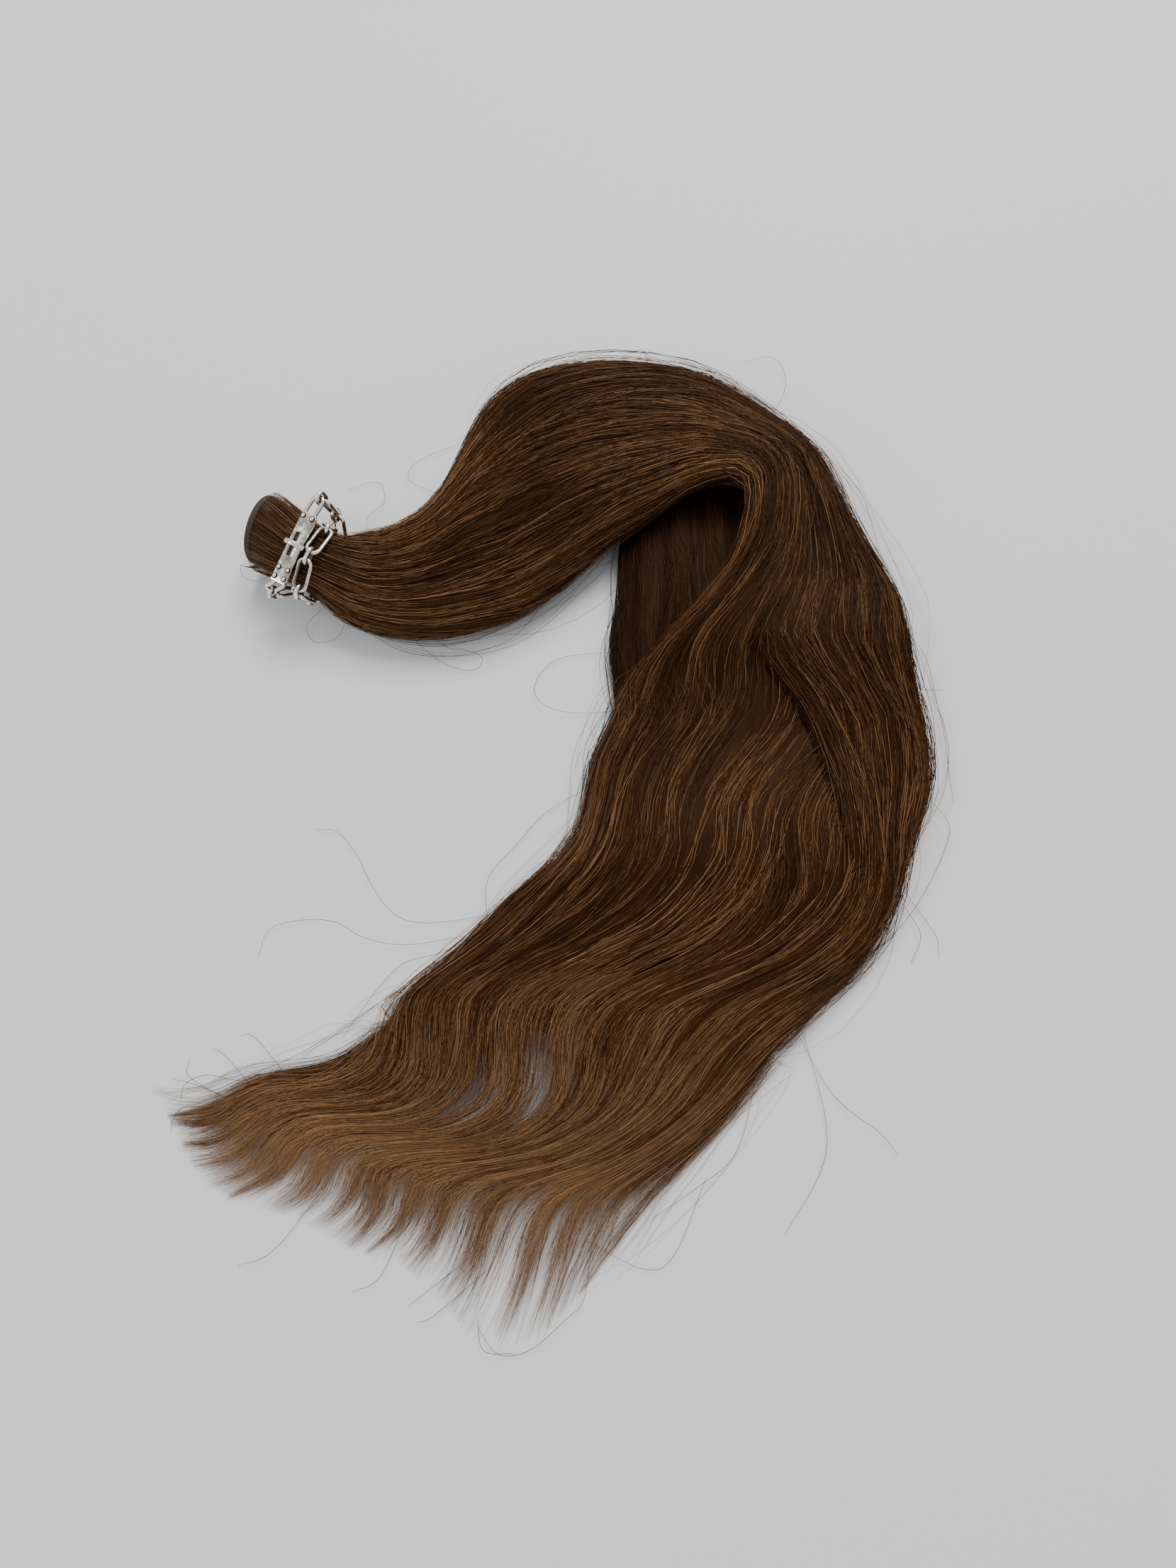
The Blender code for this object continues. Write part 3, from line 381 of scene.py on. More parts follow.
# Sections of the upper sheet, as shares. X and Y are shares of the spans, and heights are shares
# of the pile. The tuck is how far the inner side slopes in under the sheet.
# Columns: outer_x, outer_y, outer_z, inner_x, inner_y, inner_z, crown, tuck, bow
UPPER_SHEET = (
    (-0.286, 0.275, 0.37, -0.326, 0.188, 0.34, 0.38, 0.20, 0.0),
    (-0.252, 0.282, 0.33, -0.289, 0.173, 0.30, 0.38, 0.20, 0.0),
    (-0.209, 0.304, 0.30, -0.236, 0.164, 0.27, 0.42, 0.20, 0.0),
    (-0.173, 0.343, 0.27, -0.176, 0.163, 0.27, 0.46, 0.20, 0.0),
    (-0.150, 0.391, 0.27, -0.116, 0.172, 0.27, 0.50, 0.20, 0.0),
    (-0.121, 0.440, 0.27, -0.057, 0.188, 0.27, 0.52, 0.20, 0.0),
    (-0.074, 0.472, 0.30, -0.002, 0.218, 0.30, 0.52, 0.20, 0.0),
    (-0.012, 0.487, 0.33, 0.049, 0.250, 0.37, 0.50, 0.30, 0.0),
    (0.056, 0.491, 0.36, 0.090, 0.275, 0.43, 0.46, 0.50, 0.0),
    (0.130, 0.488, 0.37, 0.136, 0.296, 0.53, 0.40, 0.70, 0.0),
    (0.214, 0.474, 0.37, 0.181, 0.318, 0.64, 0.31, 0.80, 0.0),
    (0.276, 0.442, 0.37, 0.216, 0.326, 0.72, 0.25, 0.90, 0.0),
    (0.335, 0.409, 0.37, 0.246, 0.327, 0.74, 0.22, 0.90, 0.0),
    (0.378, 0.373, 0.36, 0.264, 0.315, 0.68, 0.24, 0.90, 0.0),
    (0.406, 0.319, 0.33, 0.262, 0.288, 0.58, 0.30, 0.80, 0.0),
    (0.438, 0.267, 0.30, 0.240, 0.241, 0.48, 0.33, 0.60, 0.0),
    (0.473, 0.213, 0.27, 0.189, 0.196, 0.39, 0.37, 0.40, 0.0),
    (0.485, 0.163, 0.23, 0.128, 0.151, 0.32, 0.40, 0.30, 0.0),
    (0.488, 0.117, 0.20, 0.083, 0.112, 0.23, 0.40, 0.20, 0.0),
    (0.495, 0.070, 0.20, 0.059, 0.074, 0.20, 0.40, 0.20, 0.0),
    (0.497, 0.024, 0.19, 0.036, 0.037, 0.17, 0.40, 0.20, 0.0),
    (0.489, -0.012, 0.17, 0.026, -0.004, 0.16, 0.40, 0.20, 0.0),
    (0.467, -0.048, 0.16, 0.013, -0.043, 0.14, 0.40, 0.20, 0.0),
    (0.449, -0.086, 0.14, -0.023, -0.077, 0.13, 0.40, 0.20, 0.0),
    (0.425, -0.125, 0.13, -0.078, -0.111, 0.11, 0.37, 0.20, 0.0),
    (0.397, -0.162, 0.11, -0.132, -0.151, 0.09, 0.36, 0.20, 0.0),
    (0.365, -0.195, 0.10, -0.181, -0.181, 0.08, 0.33, 0.20, 0.0),
    (0.321, -0.231, 0.09, -0.225, -0.204, 0.07, 0.30, 0.20, 0.0),
    (0.279, -0.266, 0.08, -0.259, -0.230, 0.07, 0.26, 0.20, -0.010),
    (0.237, -0.297, 0.07, -0.297, -0.251, 0.06, 0.23, 0.20, -0.030),
    (0.191, -0.328, 0.06, -0.341, -0.262, 0.06, 0.20, 0.20, -0.040),
    (0.151, -0.355, 0.06, -0.385, -0.272, 0.05, 0.17, 0.20, -0.036),
    (0.116, -0.378, 0.05, -0.418, -0.288, 0.05, 0.15, 0.20, -0.026),
)

# Sections of the under layer, which comes out from below the fold. It has the same columns.
UNDER_LAYER = (
    (0.305, 0.376, 0.20, 0.097, 0.325, 0.20, 0.10, 0.20, 0.0),
    (0.318, 0.336, 0.19, 0.086, 0.302, 0.17, 0.15, 0.20, 0.0),
    (0.327, 0.285, 0.17, 0.077, 0.265, 0.14, 0.20, 0.20, 0.0),
    (0.330, 0.225, 0.16, 0.073, 0.210, 0.13, 0.23, 0.20, 0.0),
    (0.332, 0.168, 0.13, 0.062, 0.156, 0.13, 0.23, 0.20, 0.0),
    (0.328, 0.113, 0.11, 0.066, 0.117, 0.11, 0.22, 0.20, 0.0),
    (0.313, 0.058, 0.10, 0.073, 0.080, 0.09, 0.18, 0.20, 0.0),
    (0.296, 0.014, 0.08, 0.090, 0.044, 0.08, 0.12, 0.20, 0.0),
)

# The pointed ends of the fringe, from the inner edge to the outer one.
# Columns: x, y, hook (how far the hair runs on in its direction before it turns down)
FRINGE_TIPS = (
    (-0.490, -0.309, 0.30),
    (-0.455, -0.349, 0.40),
    (-0.412, -0.377, 0.40),
    (-0.349, -0.390, 0.35),
    (-0.287, -0.407, 0.35),
    (-0.246, -0.423, 0.30),
    (-0.198, -0.429, 0.30),
    (-0.161, -0.449, 0.30),
    (-0.112, -0.485, 0.25),
    (-0.062, -0.498, 0.25),
    (-0.020, -0.490, 0.20),
    (0.022, -0.457, 0.20),
)

# %% [markdown]
# Each section becomes a ring of points from the foot of the inner side, over the top, to the foot
# of the outer side. A place across the section is a number from 0 to 1, which is called u, and a
# place along the hair is a number from 0 at the drum to 1 at the tips, which is called s.

# %% Rings of the sheet
RING_POINTS = 57
WALL = 0.14
ROUND_REACH_DEG = 135.0
# From one section to the other the hair grows thin, and its sides no longer stand up.
FLAT_FROM = 25.0
FLAT_AT = 31.0
LOCK_RISE = 2.0 * MM


def table_point(x_share, y_share, height=0.0):
    return np.array((x_share * SPAN_ACROSS, y_share * SPAN_ALONG, height)) + TABLE_SHIFT


def directions(turn_deg):
    """Unit vectors along the neck towards the hair, and across it towards the back."""
    turn = math.radians(turn_deg)
    along = np.array((math.cos(turn), math.sin(turn), 0.0))
    across = np.array((-math.sin(turn), math.cos(turn), 0.0))
    return along, across


def round_ring(centre, turn_deg, radius):
    across = directions(turn_deg)[1]
    swing = np.radians(np.linspace(-ROUND_REACH_DEG, ROUND_REACH_DEG, RING_POINTS))
    ring = centre + np.outer(np.sin(swing), across) * radius
    ring[:, 2] += np.cos(swing) * radius
    return ring


def relief(top, fullness, number):
    """How far the locks of a section rise, which drifts slowly along the hair."""
    broad = np.cos(2 * math.pi * (5.5 * top + 0.9 * math.sin(0.33 * number + 0.6)))
    fine = np.cos(2 * math.pi * (13.0 * top + 0.8 * math.sin(0.21 * number + 2.0)
                                 + 0.3 * number / 33))
    return LOCK_RISE * fullness * (0.5 + 0.3 * broad + 0.2 * fine)


def smooth_step(low, high, value):
    t = np.clip((value - low) / (high - low), 0.0, 1.0)
    return t * t * (3 - 2 * t)


def pile_ring(row, number):
    outer_x, outer_y, outer_z, inner_x, inner_y, inner_z, crown, tuck, bow = row
    outer = table_point(outer_x, outer_y, outer_z * PILE_HEIGHT)
    inner = table_point(inner_x, inner_y, inner_z * PILE_HEIGHT)
    u = np.linspace(0.0, 1.0, RING_POINTS)
    top = np.clip((u - WALL) / (1 - 2 * WALL), 0.0, 1.0)
    share = 0.5 + 0.5 * (EDGE_CROWDING * -np.cos(math.pi * top)
                         + (1 - EDGE_CROWDING) * (2 * top - 1))
    inner_wall = np.clip(1 - u / WALL, 0.0, 1.0)
    outer_wall = np.clip((u - 1 + WALL) / WALL, 0.0, 1.0)
    share = share + 0.5 * tuck * inner_wall - 0.5 * OUTER_TUCK * outer_wall
    offset = np.abs(2 * share - 1)
    ring = inner + np.outer(share, outer - inner)
    ring[:, 1] += bow * SPAN_ALONG * (1 - offset ** 2)
    fullness = np.sqrt(np.maximum(0.0, 1 - offset ** CROWN_FULLNESS))
    on_top = (inner_wall == 0) & (outer_wall == 0)
    rise = crown * PILE_HEIGHT * fullness + relief(top, fullness, number) * min(1.0, number / 3)
    fall = ring[:, 2] * np.maximum(inner_wall, outer_wall) ** FOOT_ROUNDING
    ring[:, 2] += np.where(on_top, rise, -fall)
    if number <= FLAT_FROM:
        return ring
    flat = inner + np.outer(u, outer - inner)
    flat[:, 1] += bow * SPAN_ALONG * (1 - (2 * u - 1) ** 2)
    flat[:, 2] += crown * PILE_HEIGHT * (1 - (2 * u - 1) ** 4) - 0.5 * flat[:, 2]
    flatness = smooth_step(FLAT_FROM, FLAT_AT, number)
    return ring * (1 - flatness) + flat * flatness


def neck_centre(place=0.0):
    return table_point(*NECK_PLACE, NECK_HEIGHT) + directions(NECK_TURN_DEG)[0] * place


def shoulder_ring(share):
    """A ring of the bent stretch between the drum and the waist."""
    start = table_point(*DRUM_PLACE, DRUM_RADIUS)
    end = neck_centre(-WAIST_ROOT_SIDE)
    reach = np.linalg.norm(end - start)
    from_drum = start + directions(DRUM_TURN_DEG)[0] * reach / 2
    from_waist = end - directions(NECK_TURN_DEG)[0] * reach / 2
    bend = (from_drum + from_waist) / 2
    centre = (1 - share) ** 2 * start + 2 * share * (1 - share) * bend + share ** 2 * end
    turn = DRUM_TURN_DEG + (NECK_TURN_DEG - DRUM_TURN_DEG) * share
    radius = DRUM_RADIUS + (WAIST_RADIUS - DRUM_RADIUS) * share ** SHOULDER_FULLNESS
    return round_ring(centre, turn, radius)


def fringe_rings(before, last, steps):
    """Rings that lead on from the last section to the pointed ends."""
    u = np.linspace(0.0, 1.0, RING_POINTS)
    tooth = u * len(FRINGE_TIPS) - 0.5
    known = np.arange(len(FRINGE_TIPS))
    x, y, hook = (np.interp(tooth, known, column) for column in zip(*FRINGE_TIPS))
    tips = np.stack((x * SPAN_ACROSS, y * SPAN_ALONG, np.full(RING_POINTS, 0.5 * MM)), axis=1)
    tips += TABLE_SHIFT
    run = last - before
    run /= np.linalg.norm(run, axis=1)[:, None]
    way = tips - last
    length = np.linalg.norm(way, axis=1)
    knee = last + run * (hook * length)[:, None] + way * 0.15
    rings = []
    for step in range(1, steps + 1):
        t = step / steps
        ring = (1 - t) ** 2 * last + 2 * t * (1 - t) * knee + t ** 2 * tips
        ring[:, 2] = last[:, 2] * (1 - 0.85 * t) + 0.3 * MM
        rings.append(ring)
    return rings


FRINGE_STEPS = 5
upper_rings = [shoulder_ring(0.0), shoulder_ring(0.35), shoulder_ring(0.7)]
upper_rings += [round_ring(neck_centre(place), NECK_TURN_DEG, WAIST_RADIUS)
                for place in (-WAIST_ROOT_SIDE, 0.0, WAIST_HAIR_SIDE)]
upper_rings += [pile_ring(row, number) for number, row in enumerate(UPPER_SHEET)]
FIRST_PILE_RING = 6
upper_rings += fringe_rings(upper_rings[-2], upper_rings[-1], FRINGE_STEPS)
under_rings = [pile_ring(row, 20 + number) for number, row in enumerate(UNDER_LAYER)]
print(len(upper_rings), "rings in the upper sheet and", len(under_rings), "in the under layer")

# %% [markdown]
# The rings are joined by a smooth curve through each of their points, and the result is a fine
# mesh whose UV map holds u and s. Strands can then be laid by asking the mesh for the place that
# belongs to a u and an s. The mesh also knows which way is across the hair, for stray strands.

# %% Sheets from rings
SMOOTHING = 5
# Waves of the hair. Numbers of sections, and shares of the width for the sway.
FIRST_CREST = 17.0
FIRST_SWAY = 18.7
WAVE_SECTIONS = 5.5
WAVE_SLANT = 0.8
WAVE_RISE = 1.8 * MM
SWAY = 0.036
GATHER_LEFT = 0.13
GATHER_SECTIONS = (28.5, 31.5)
WAVE_GROWS = (14.5, 17.0)
WAVE_FADES = (28.0, 32.0)
# From these sections on, strands are thinner near both edges. The width is a share of the sheet's.
EDGE_SECTIONS = (20.0, 24.0)
EDGE_WIDTH = 0.08
EDGE_THINNING = 0.62
# Narrow gaps between locks, where the table shows through.
# Columns: place across, first section, last section, half width as a share of the width
PARTINGS = (
    (0.36, 27.9, 31.0, 0.010),
    (0.485, 27.8, 30.2, 0.009),
    (0.555, 28.4, 29.6, 0.003),
    (0.76, 27.8, 29.2, 0.004),
    (0.88, 28.8, 31.2, 0.006),
    (0.14, 28.0, 29.6, 0.005),
)


def smooth_rings(rings, steps):
    """Rings on smooth curves through the given ones."""
    rings = [2 * rings[0] - rings[1], *rings, 2 * rings[-1] - rings[-2]]
    fine = []
    for i in range(1, len(rings) - 2):
        a, b, c, d = rings[i - 1:i + 3]
        for step in range(steps):
            t = step / steps
            fine.append(0.5 * (2 * b + (c - a) * t + (2 * a - 5 * b + 4 * c - d) * t ** 2
                               + (3 * b - a - 3 * c + d) * t ** 3))
    fine.append(rings[-2])
    return np.array(fine)


def wave(number, u):
    """The wave of the hair below the fold, from -1 to 1, at a section number and a place across."""
    grown = smooth_step(*WAVE_GROWS, number) * (1 - 0.5 * smooth_step(*WAVE_FADES, number))
    angle = 2 * math.pi * (number - FIRST_CREST - WAVE_SLANT * (u - 0.5)) / WAVE_SECTIONS
    return grown * np.cos(angle)


def waved(fine, first_section):
    """The rings with crests and hollows across the hair."""
    u = np.linspace(0.0, 1.0, fine.shape[1])
    lifted = fine.copy()
    for i in range(len(fine)):
        rise = WAVE_RISE * wave(i / SMOOTHING - first_section, u) * np.sin(math.pi * u)
        lifted[i, :, 2] = np.maximum(np.minimum(fine[i, :, 2], 0.3 * MM), fine[i, :, 2] + rise)
    return lifted


def sways(fine, first_section):
    """How far the flow moves across the sheet: the waves, and the turn of the upper layer."""
    u = np.linspace(0.0, 1.0, fine.shape[1])
    number = np.arange(len(fine))[:, None] / SMOOTHING - first_section
    inside = 4 * u * (1 - u)
    sway = SWAY * inside * wave(number + FIRST_CREST - FIRST_SWAY, u)
    sway = sway - GATHER_LEFT * inside * smooth_step(*GATHER_SECTIONS, number)
    for place, first, last, width in PARTINGS:
        aside = u - place
        opening = np.clip((number - first) / (last - first), 0.0, 1.0)
        push = aside / (np.abs(aside) + 0.003) * np.exp(-(aside / 0.045) ** 2)
        sway = sway + width * push * np.sin(math.pi * opening) ** 0.7
    return sway


def openings(fine, first_section):
    """Where one sees the table through the hair: 1 in the middle of a slit, less at the edges."""
    u = np.linspace(0.0, 1.0, fine.shape[1])
    number = np.arange(len(fine))[:, None] / SMOOTHING - first_section
    edge = np.clip(1 - np.minimum(u, 1 - u) / EDGE_WIDTH, 0.0, 1.0)
    opened = EDGE_THINNING * edge * smooth_step(*EDGE_SECTIONS, number)
    for place, first, last, width in PARTINGS:
        share = np.clip((number - first) / (last - first), 0.0, 1.0)
        reach = (width + 0.003) * np.sin(math.pi * share) + 1e-6
        slit = np.clip(1.6 - np.abs(u - place) / reach, 0.0, 1.0)
        opened = np.maximum(opened, slit * np.clip(4 * share * (1 - share), 0.0, 1.0))
    return opened


def lengthwise_share(fine):
    """How far along the middle of the sheet each ring lies, from 0 to 1."""
    middle = fine[:, fine.shape[1] // 2]
    steps = np.linalg.norm(np.diff(middle, axis=0), axis=1)
    length = np.concatenate(([0.0], np.cumsum(steps)))
    return length / length[-1], length[-1]


def sheet_object(name, fine, reach, first_section=None):
    """A mesh from smooth rings, with u and s in its UV map. Reach is the share of the hair's length
    at its start and at its end. With a first section it also holds the sway and the slits."""
    rings, points = fine.shape[:2]
    s, length = lengthwise_share(fine)
    faces = quads(rings, points, closed=False)
    mesh = new_mesh(name, fine, faces)
    flow_map(mesh, np.linspace(0.0, 1.0, points), s)
    across = np.gradient(fine, axis=1)
    across[:, :, 2] = 0.0
    across /= np.linalg.norm(across, axis=2)[:, :, None] + 1e-9
    carry(mesh, "across", across, "FLOAT_VECTOR")
    carry(mesh, "reach", np.repeat(reach[0] + (reach[1] - reach[0]) * s, points))
    if first_section is not None:
        carry(mesh, "sway", sways(fine, first_section))
        carry(mesh, "opening", openings(fine, first_section))
    mesh.update()
    print(name, "is", round(length / MM), "mm long, with", len(faces), "faces")
    return mesh, s


upper_fine = waved(smooth_rings(upper_rings, SMOOTHING), FIRST_PILE_RING)
under_fine = smooth_rings(under_rings, SMOOTHING)
upper_mesh, upper_s = sheet_object("upper_sheet", upper_fine, (0.0, 1.0), FIRST_PILE_RING)
# The under layer's reach, 0 to 0.35, is lower than its place along the hair, so that its core is a
# little darker: painted shade under the fold.
under_mesh, under_s = sheet_object("under_layer", under_fine, (0.0, 0.35))


def ring_s(number):
    """The place along the hair of one of the given rings."""
    return float(upper_s[number * SMOOTHING])


def section_s(number):
    return ring_s(FIRST_PILE_RING + number)


print("s at the waist, the fold, mid body and the fringe:", [round(v, 3) for v in
      (ring_s(4), section_s(13), section_s(22), section_s(32))])

# %% [markdown]
# ## The tree that lays strands
#
# A strand of hair could be a curve, but curves of the hair kind aren't exported, so each strand is
# a thin closed tube with three sides. The tree first scatters the strands: each one gets a place
# across the sheet, a start and a length. Strands in one lock lean towards the middle of the lock,
# which is what parts hair into locks. Each strand comes up out of the sheet, runs over its
# neighbours and sinks in again, and a few stray sideways.

# %% Strand tree
TUBE_SIDES = 3
TABLE_CLEARANCE = 0.2 * MM


def strand_tree():
    tree = Tree("strands", {
        "Strands": "Int", "Points": "Int", "From": "Float", "To": "Float", "Shortest": "Float",
        "Longest": "Float", "Thickness": "Float", "Lift": "Float", "Sink": "Float",
        "Locks": "Float", "Gather": "Float", "Tip Gather": "Float", "Lock Height": "Float",
        "Drift": "Float", "Wander": "Float", "Cross": "Float", "Sway": "Float", "Uneven": "Float",
        "Left": "Float", "Right": "Float", "Stray": "Float", "Flare": "Float", "Seed": "Int",
        "Finish": "Material"})
    of = tree.of
    count = tree.product(of("Strands"), of("Points"))
    index = tree.node("GeometryNodeInputIndex", {})
    strand = tree.math("FLOOR", tree.math("DIVIDE", tree.sum(index, 0.5), of("Points")))
    step = tree.minus(index, tree.product(strand, of("Points")))
    t = tree.math("DIVIDE", step, tree.minus(of("Points"), 1.0))

    def pick(low, high, turn):
        return tree.random(low, high, strand, tree.sum(of("Seed"), float(turn)))

    shorter = pick(0.0, 1.0, 9)
    last = tree.minus(of("To"), tree.product(of("Uneven"), shorter, shorter))
    room = tree.minus(last, of("From"))
    length = tree.least(room, tree.mix(pick(0.0, 1.0, 1), of("Shortest"), of("Longest")))
    begin = tree.sum(of("From"), tree.product(pick(0.0, 1.0, 2), room), tree.product(length, -0.5))
    begin = tree.most(of("From"), tree.least(begin, tree.minus(last, length)))
    s = tree.sum(begin, tree.product(t, length))

    u_free = tree.mix(pick(0.0, 1.0, 3), of("Left"), of("Right"))
    lock = tree.math("FLOOR", tree.product(u_free, of("Locks")))
    jitter = tree.random(0.2, 0.8, lock, 40)
    lock_u = tree.math("DIVIDE", tree.sum(lock, jitter), of("Locks"))
    lock_y = tree.product(lock, 3.7)
    near_end = tree.minus(tree.product(s, 6.0), 5.0)
    tip = tree.most(tree.product(0.6, t, t), near_end)
    hold = tree.mix(tree.sum(0.5, tree.product(0.5, tree.drift(s, lock_y, 9.0))), 0.0, of("Gather"))
    hold = tree.most(0.0, tree.sum(hold, tree.product(tip, of("Tip Gather"))))
    hold = tree.least(hold, 0.96)
    u = tree.mix(hold, u_free, lock_u)
    middle = tree.minus(t, 0.5)
    u = tree.sum(u, tree.product(of("Drift"), length, middle))
    slant = pick(-1.0, 1.0, 8)
    slant = tree.product(slant, slant, slant)
    u = tree.sum(u, tree.product(of("Cross"), slant, middle))
    u = tree.sum(u, tree.product(of("Wander"), tree.drift(s, lock_y, 7.0)))
    u = tree.sum(u, tree.product(of("Wander"), 0.7, tree.drift(s, tree.product(strand, 1.9), 5.0)))
    u = tree.within(0.001, u, 0.999)
    flow = tree.named("flow", "FLOAT_VECTOR")

    def sampled(value, where, kind="FLOAT_VECTOR"):
        inputs = {"Mesh": of("Geometry"), "Value": value, "UV Map": flow, "Sample UV": where}
        return tree.node("GeometryNodeSampleUVSurface", inputs, data_type=kind)

    label = tree.vector(u, s)
    opening = sampled(tree.named("opening"), label, "FLOAT")
    u = tree.sum(u, tree.product(of("Sway"), sampled(tree.named("sway"), label, "FLOAT")))
    u = tree.within(0.001, u, 0.999)

    bow = tree.math("SINE", tree.product(t, math.pi))
    arch = tree.math("SQRT", tree.most(bow, 0.0))
    height = tree.mix(arch, tree.product(of("Sink"), -1.0),
                      tree.product(of("Lift"), tree.math("POWER", pick(0.0, 1.0, 4), 1.6)))
    from_lock = tree.product(tree.minus(u_free, lock_u), of("Locks"), 2.0)
    crown = tree.most(0.0, tree.minus(1.0, tree.product(from_lock, from_lock)))
    height = tree.sum(height, tree.product(of("Lock Height"), crown, arch))

    astray = pick(-1.0, 1.0, 5)
    astray = tree.product(astray, tree.math("POWER", tree.math("ABSOLUTE", astray), 5.0))
    flare = tree.product(of("Flare"), tree.math("POWER", t, 3.0))
    aside = tree.product(astray, tree.sum(tree.product(of("Stray"), bow), flare))

    uv = tree.vector(u, s)
    place = sampled(tree.node("GeometryNodeInputPosition", {}), uv)
    normal = sampled(tree.node("GeometryNodeInputNormal", {}), uv)
    across = sampled(tree.named("across", "FLOAT_VECTOR"), uv)
    reach = sampled(tree.named("reach"), uv, "FLOAT")
    place = tree.added(place, tree.scaled(normal, height))
    place = tree.added(place, tree.scaled(across, aside))
    x, y, z = tree.parts(place)
    place = tree.vector(x, y, tree.most(z, TABLE_CLEARANCE))

    ends = tree.least(1.0, tree.product(7.0, tree.least(t, tree.minus(1.0, t))))
    taper = tree.sum(0.25, tree.product(0.75, ends))
    wide = tree.product(of("Thickness"), pick(0.55, 1.0, 6), taper)
    wide = tree.product(wide, tree.sum(1.0, tree.product(opening, -0.93)))
    points = tree.node("GeometryNodePoints", {"Count": count, "Position": place, "Radius": 1.0})
    points = tree.store(points, "wide", wide)
    points = tree.store(points, "shade", pick(0.0, 1.0, 7))
    lock_shade = tree.random(0.0, 1.0, lock, tree.sum(of("Seed"), 60.0))
    points = tree.store(points, "lock_shade", lock_shade)
    points = tree.store(points, "reach", reach)
    curves = tree.node("GeometryNodePointsToCurves",
                       {"Points": points, "Curve Group ID": strand, "Weight": t})
    ring = tree.node("GeometryNodeCurvePrimitiveCircle", {"Resolution": TUBE_SIDES, "Radius": 0.5})
    tubes = tree.node("GeometryNodeCurveToMesh", {"Curve": curves, "Profile Curve": ring,
                                                  "Scale": tree.named("wide"), "Fill Caps": True})
    tree.finish(tubes, of("Finish"))
    return tree


strands = strand_tree()
print("strand tree has", len(strands.group.nodes), "nodes")

# %% [markdown]
# ## Hair colour
#
# Brown hair isn't one brown. Single strands are darker or paler, whole locks differ a little, and
# the ends are paler and warmer because they are older and thinner. Each strand carries its own
# numbers for this, and the material turns them into colour. A strand is shiny along its length,
# which the round tubes give by themselves when the surface is fairly smooth. The arm gets a paler
# copy of the material, which is painted sheen where the light runs across it, and the hair under
# the fold gets a darker copy, which is painted shade under the fold.

# %% Hair finish
DEEP_BROWN = (0.0080, 0.0020, 0.0006)
MID_BROWN = (0.050, 0.0180, 0.0058)
PALE_BROWN = (0.28, 0.150, 0.070)
HAIR_SHINE = (1.0, 0.66, 0.40, 1.0)
LOCK_SHARE = 0.26
CLOUD_SHARE = 0.22


def hair_finish(name, tip_share, own_share, lift):
    """Brown hair. The shares say how much paler the ends are and how much strands differ, and the
    lift makes all of it paler or, below 0, darker. The arm's lift is painted sheen, and the lift of
    the hair under the fold is painted shade."""
    finish = Finish(name, {"Roughness": 0.34, "Specular IOR Level": 0.17,
                           "Specular Tint": HAIR_SHINE})
    own = finish.product(finish.math("POWER", finish.attribute("shade"), 1.6), own_share)
    lock = finish.product(finish.attribute("lock_shade"), LOCK_SHARE)
    ends = finish.product(finish.math("POWER", finish.attribute("reach"), 5.0), tip_share)
    cloud = finish.sum(finish.product(finish.noise(28.0), CLOUD_SHARE), lift)
    total = finish.sum(own, lock, finish.sum(ends, cloud))
    colour = finish.ramp(total, ((0.08, DEEP_BROWN), (0.5, MID_BROWN), (1.0, PALE_BROWN)))
    return finish.done(Base_Color=colour)


strand_finish = hair_finish("hair_brown_strands", 0.50, 0.60, -0.035)
# Painted shade: a darker copy of the hair material, for the hair under the fold.
shaded_finish = hair_finish("hair_brown_under_the_fold", 0.0, 0.30, -0.17)
# Painted sheen: a paler copy of the hair material, for the arm where the light runs across it.
arm_sheen_finish = hair_finish("hair_brown_arm", 0.0, 0.66, 0.075)

# %% [markdown]
# ## The core
#
# Between the strands one never sees the table, but more hair. So a closed core lies a little below
# the strands, with fine streaks that run along the hair. Its colour is darker than the strands',
# which is painted shade between them. It is made from the same rings, and it replaces the imported
# solid. Where the hair thins out near the tips, the core ends and only the strands go on. Near the
# edges of the lower body it is narrower than the strands for that reason.

# %% Core of the hair
CORE_DEPTH = 1.1 * MM
UNDER_CORE_DEPTH = 0.9 * MM
LAYER_CORE_DEPTH = 0.7 * MM
CORE_LAST_SECTION = 27
CORE_END_RINGS = 10
STREAK_SCALE = (260.0, 9.0, 1.0)
# Between these sections both edges of the core draw in, by these shares of the width.
BARE_FROM, BARE_AT = 19, 24
BARE_LEFT, BARE_RIGHT = 0.08, 0.05
BOTTOM_POINTS = 6


def shaded_core_finish():
    finish = Finish("hair_brown_core",
                    {"Roughness": 0.5, "Specular IOR Level": 0.12, "Specular Tint": HAIR_SHINE})
    flow = finish.node("ShaderNodeUVMap", {}, "UV", uv_map="flow")
    stretch = finish.node("ShaderNodeMapping", {"Vector": flow, "Scale": STREAK_SCALE}, "Vector")
    grain = {"Vector": stretch, "Scale": 1.0, "Detail": 4.0}
    streak = finish.node("ShaderNodeTexNoise", grain, "Fac")
    ends = finish.product(finish.math("POWER", finish.attribute("reach"), 5.0), 0.20)
    total = finish.sum(finish.product(streak, 0.36), ends)
    # Painted shade: the core is darker than the strands, for the shade between them.
    colour = finish.ramp(total, ((0.05, DEEP_BROWN), (0.6, MID_BROWN), (1.0, PALE_BROWN)))
    return finish.done(Base_Color=colour, Normal=finish.bump(streak, 0.6, 0.4 * MM))


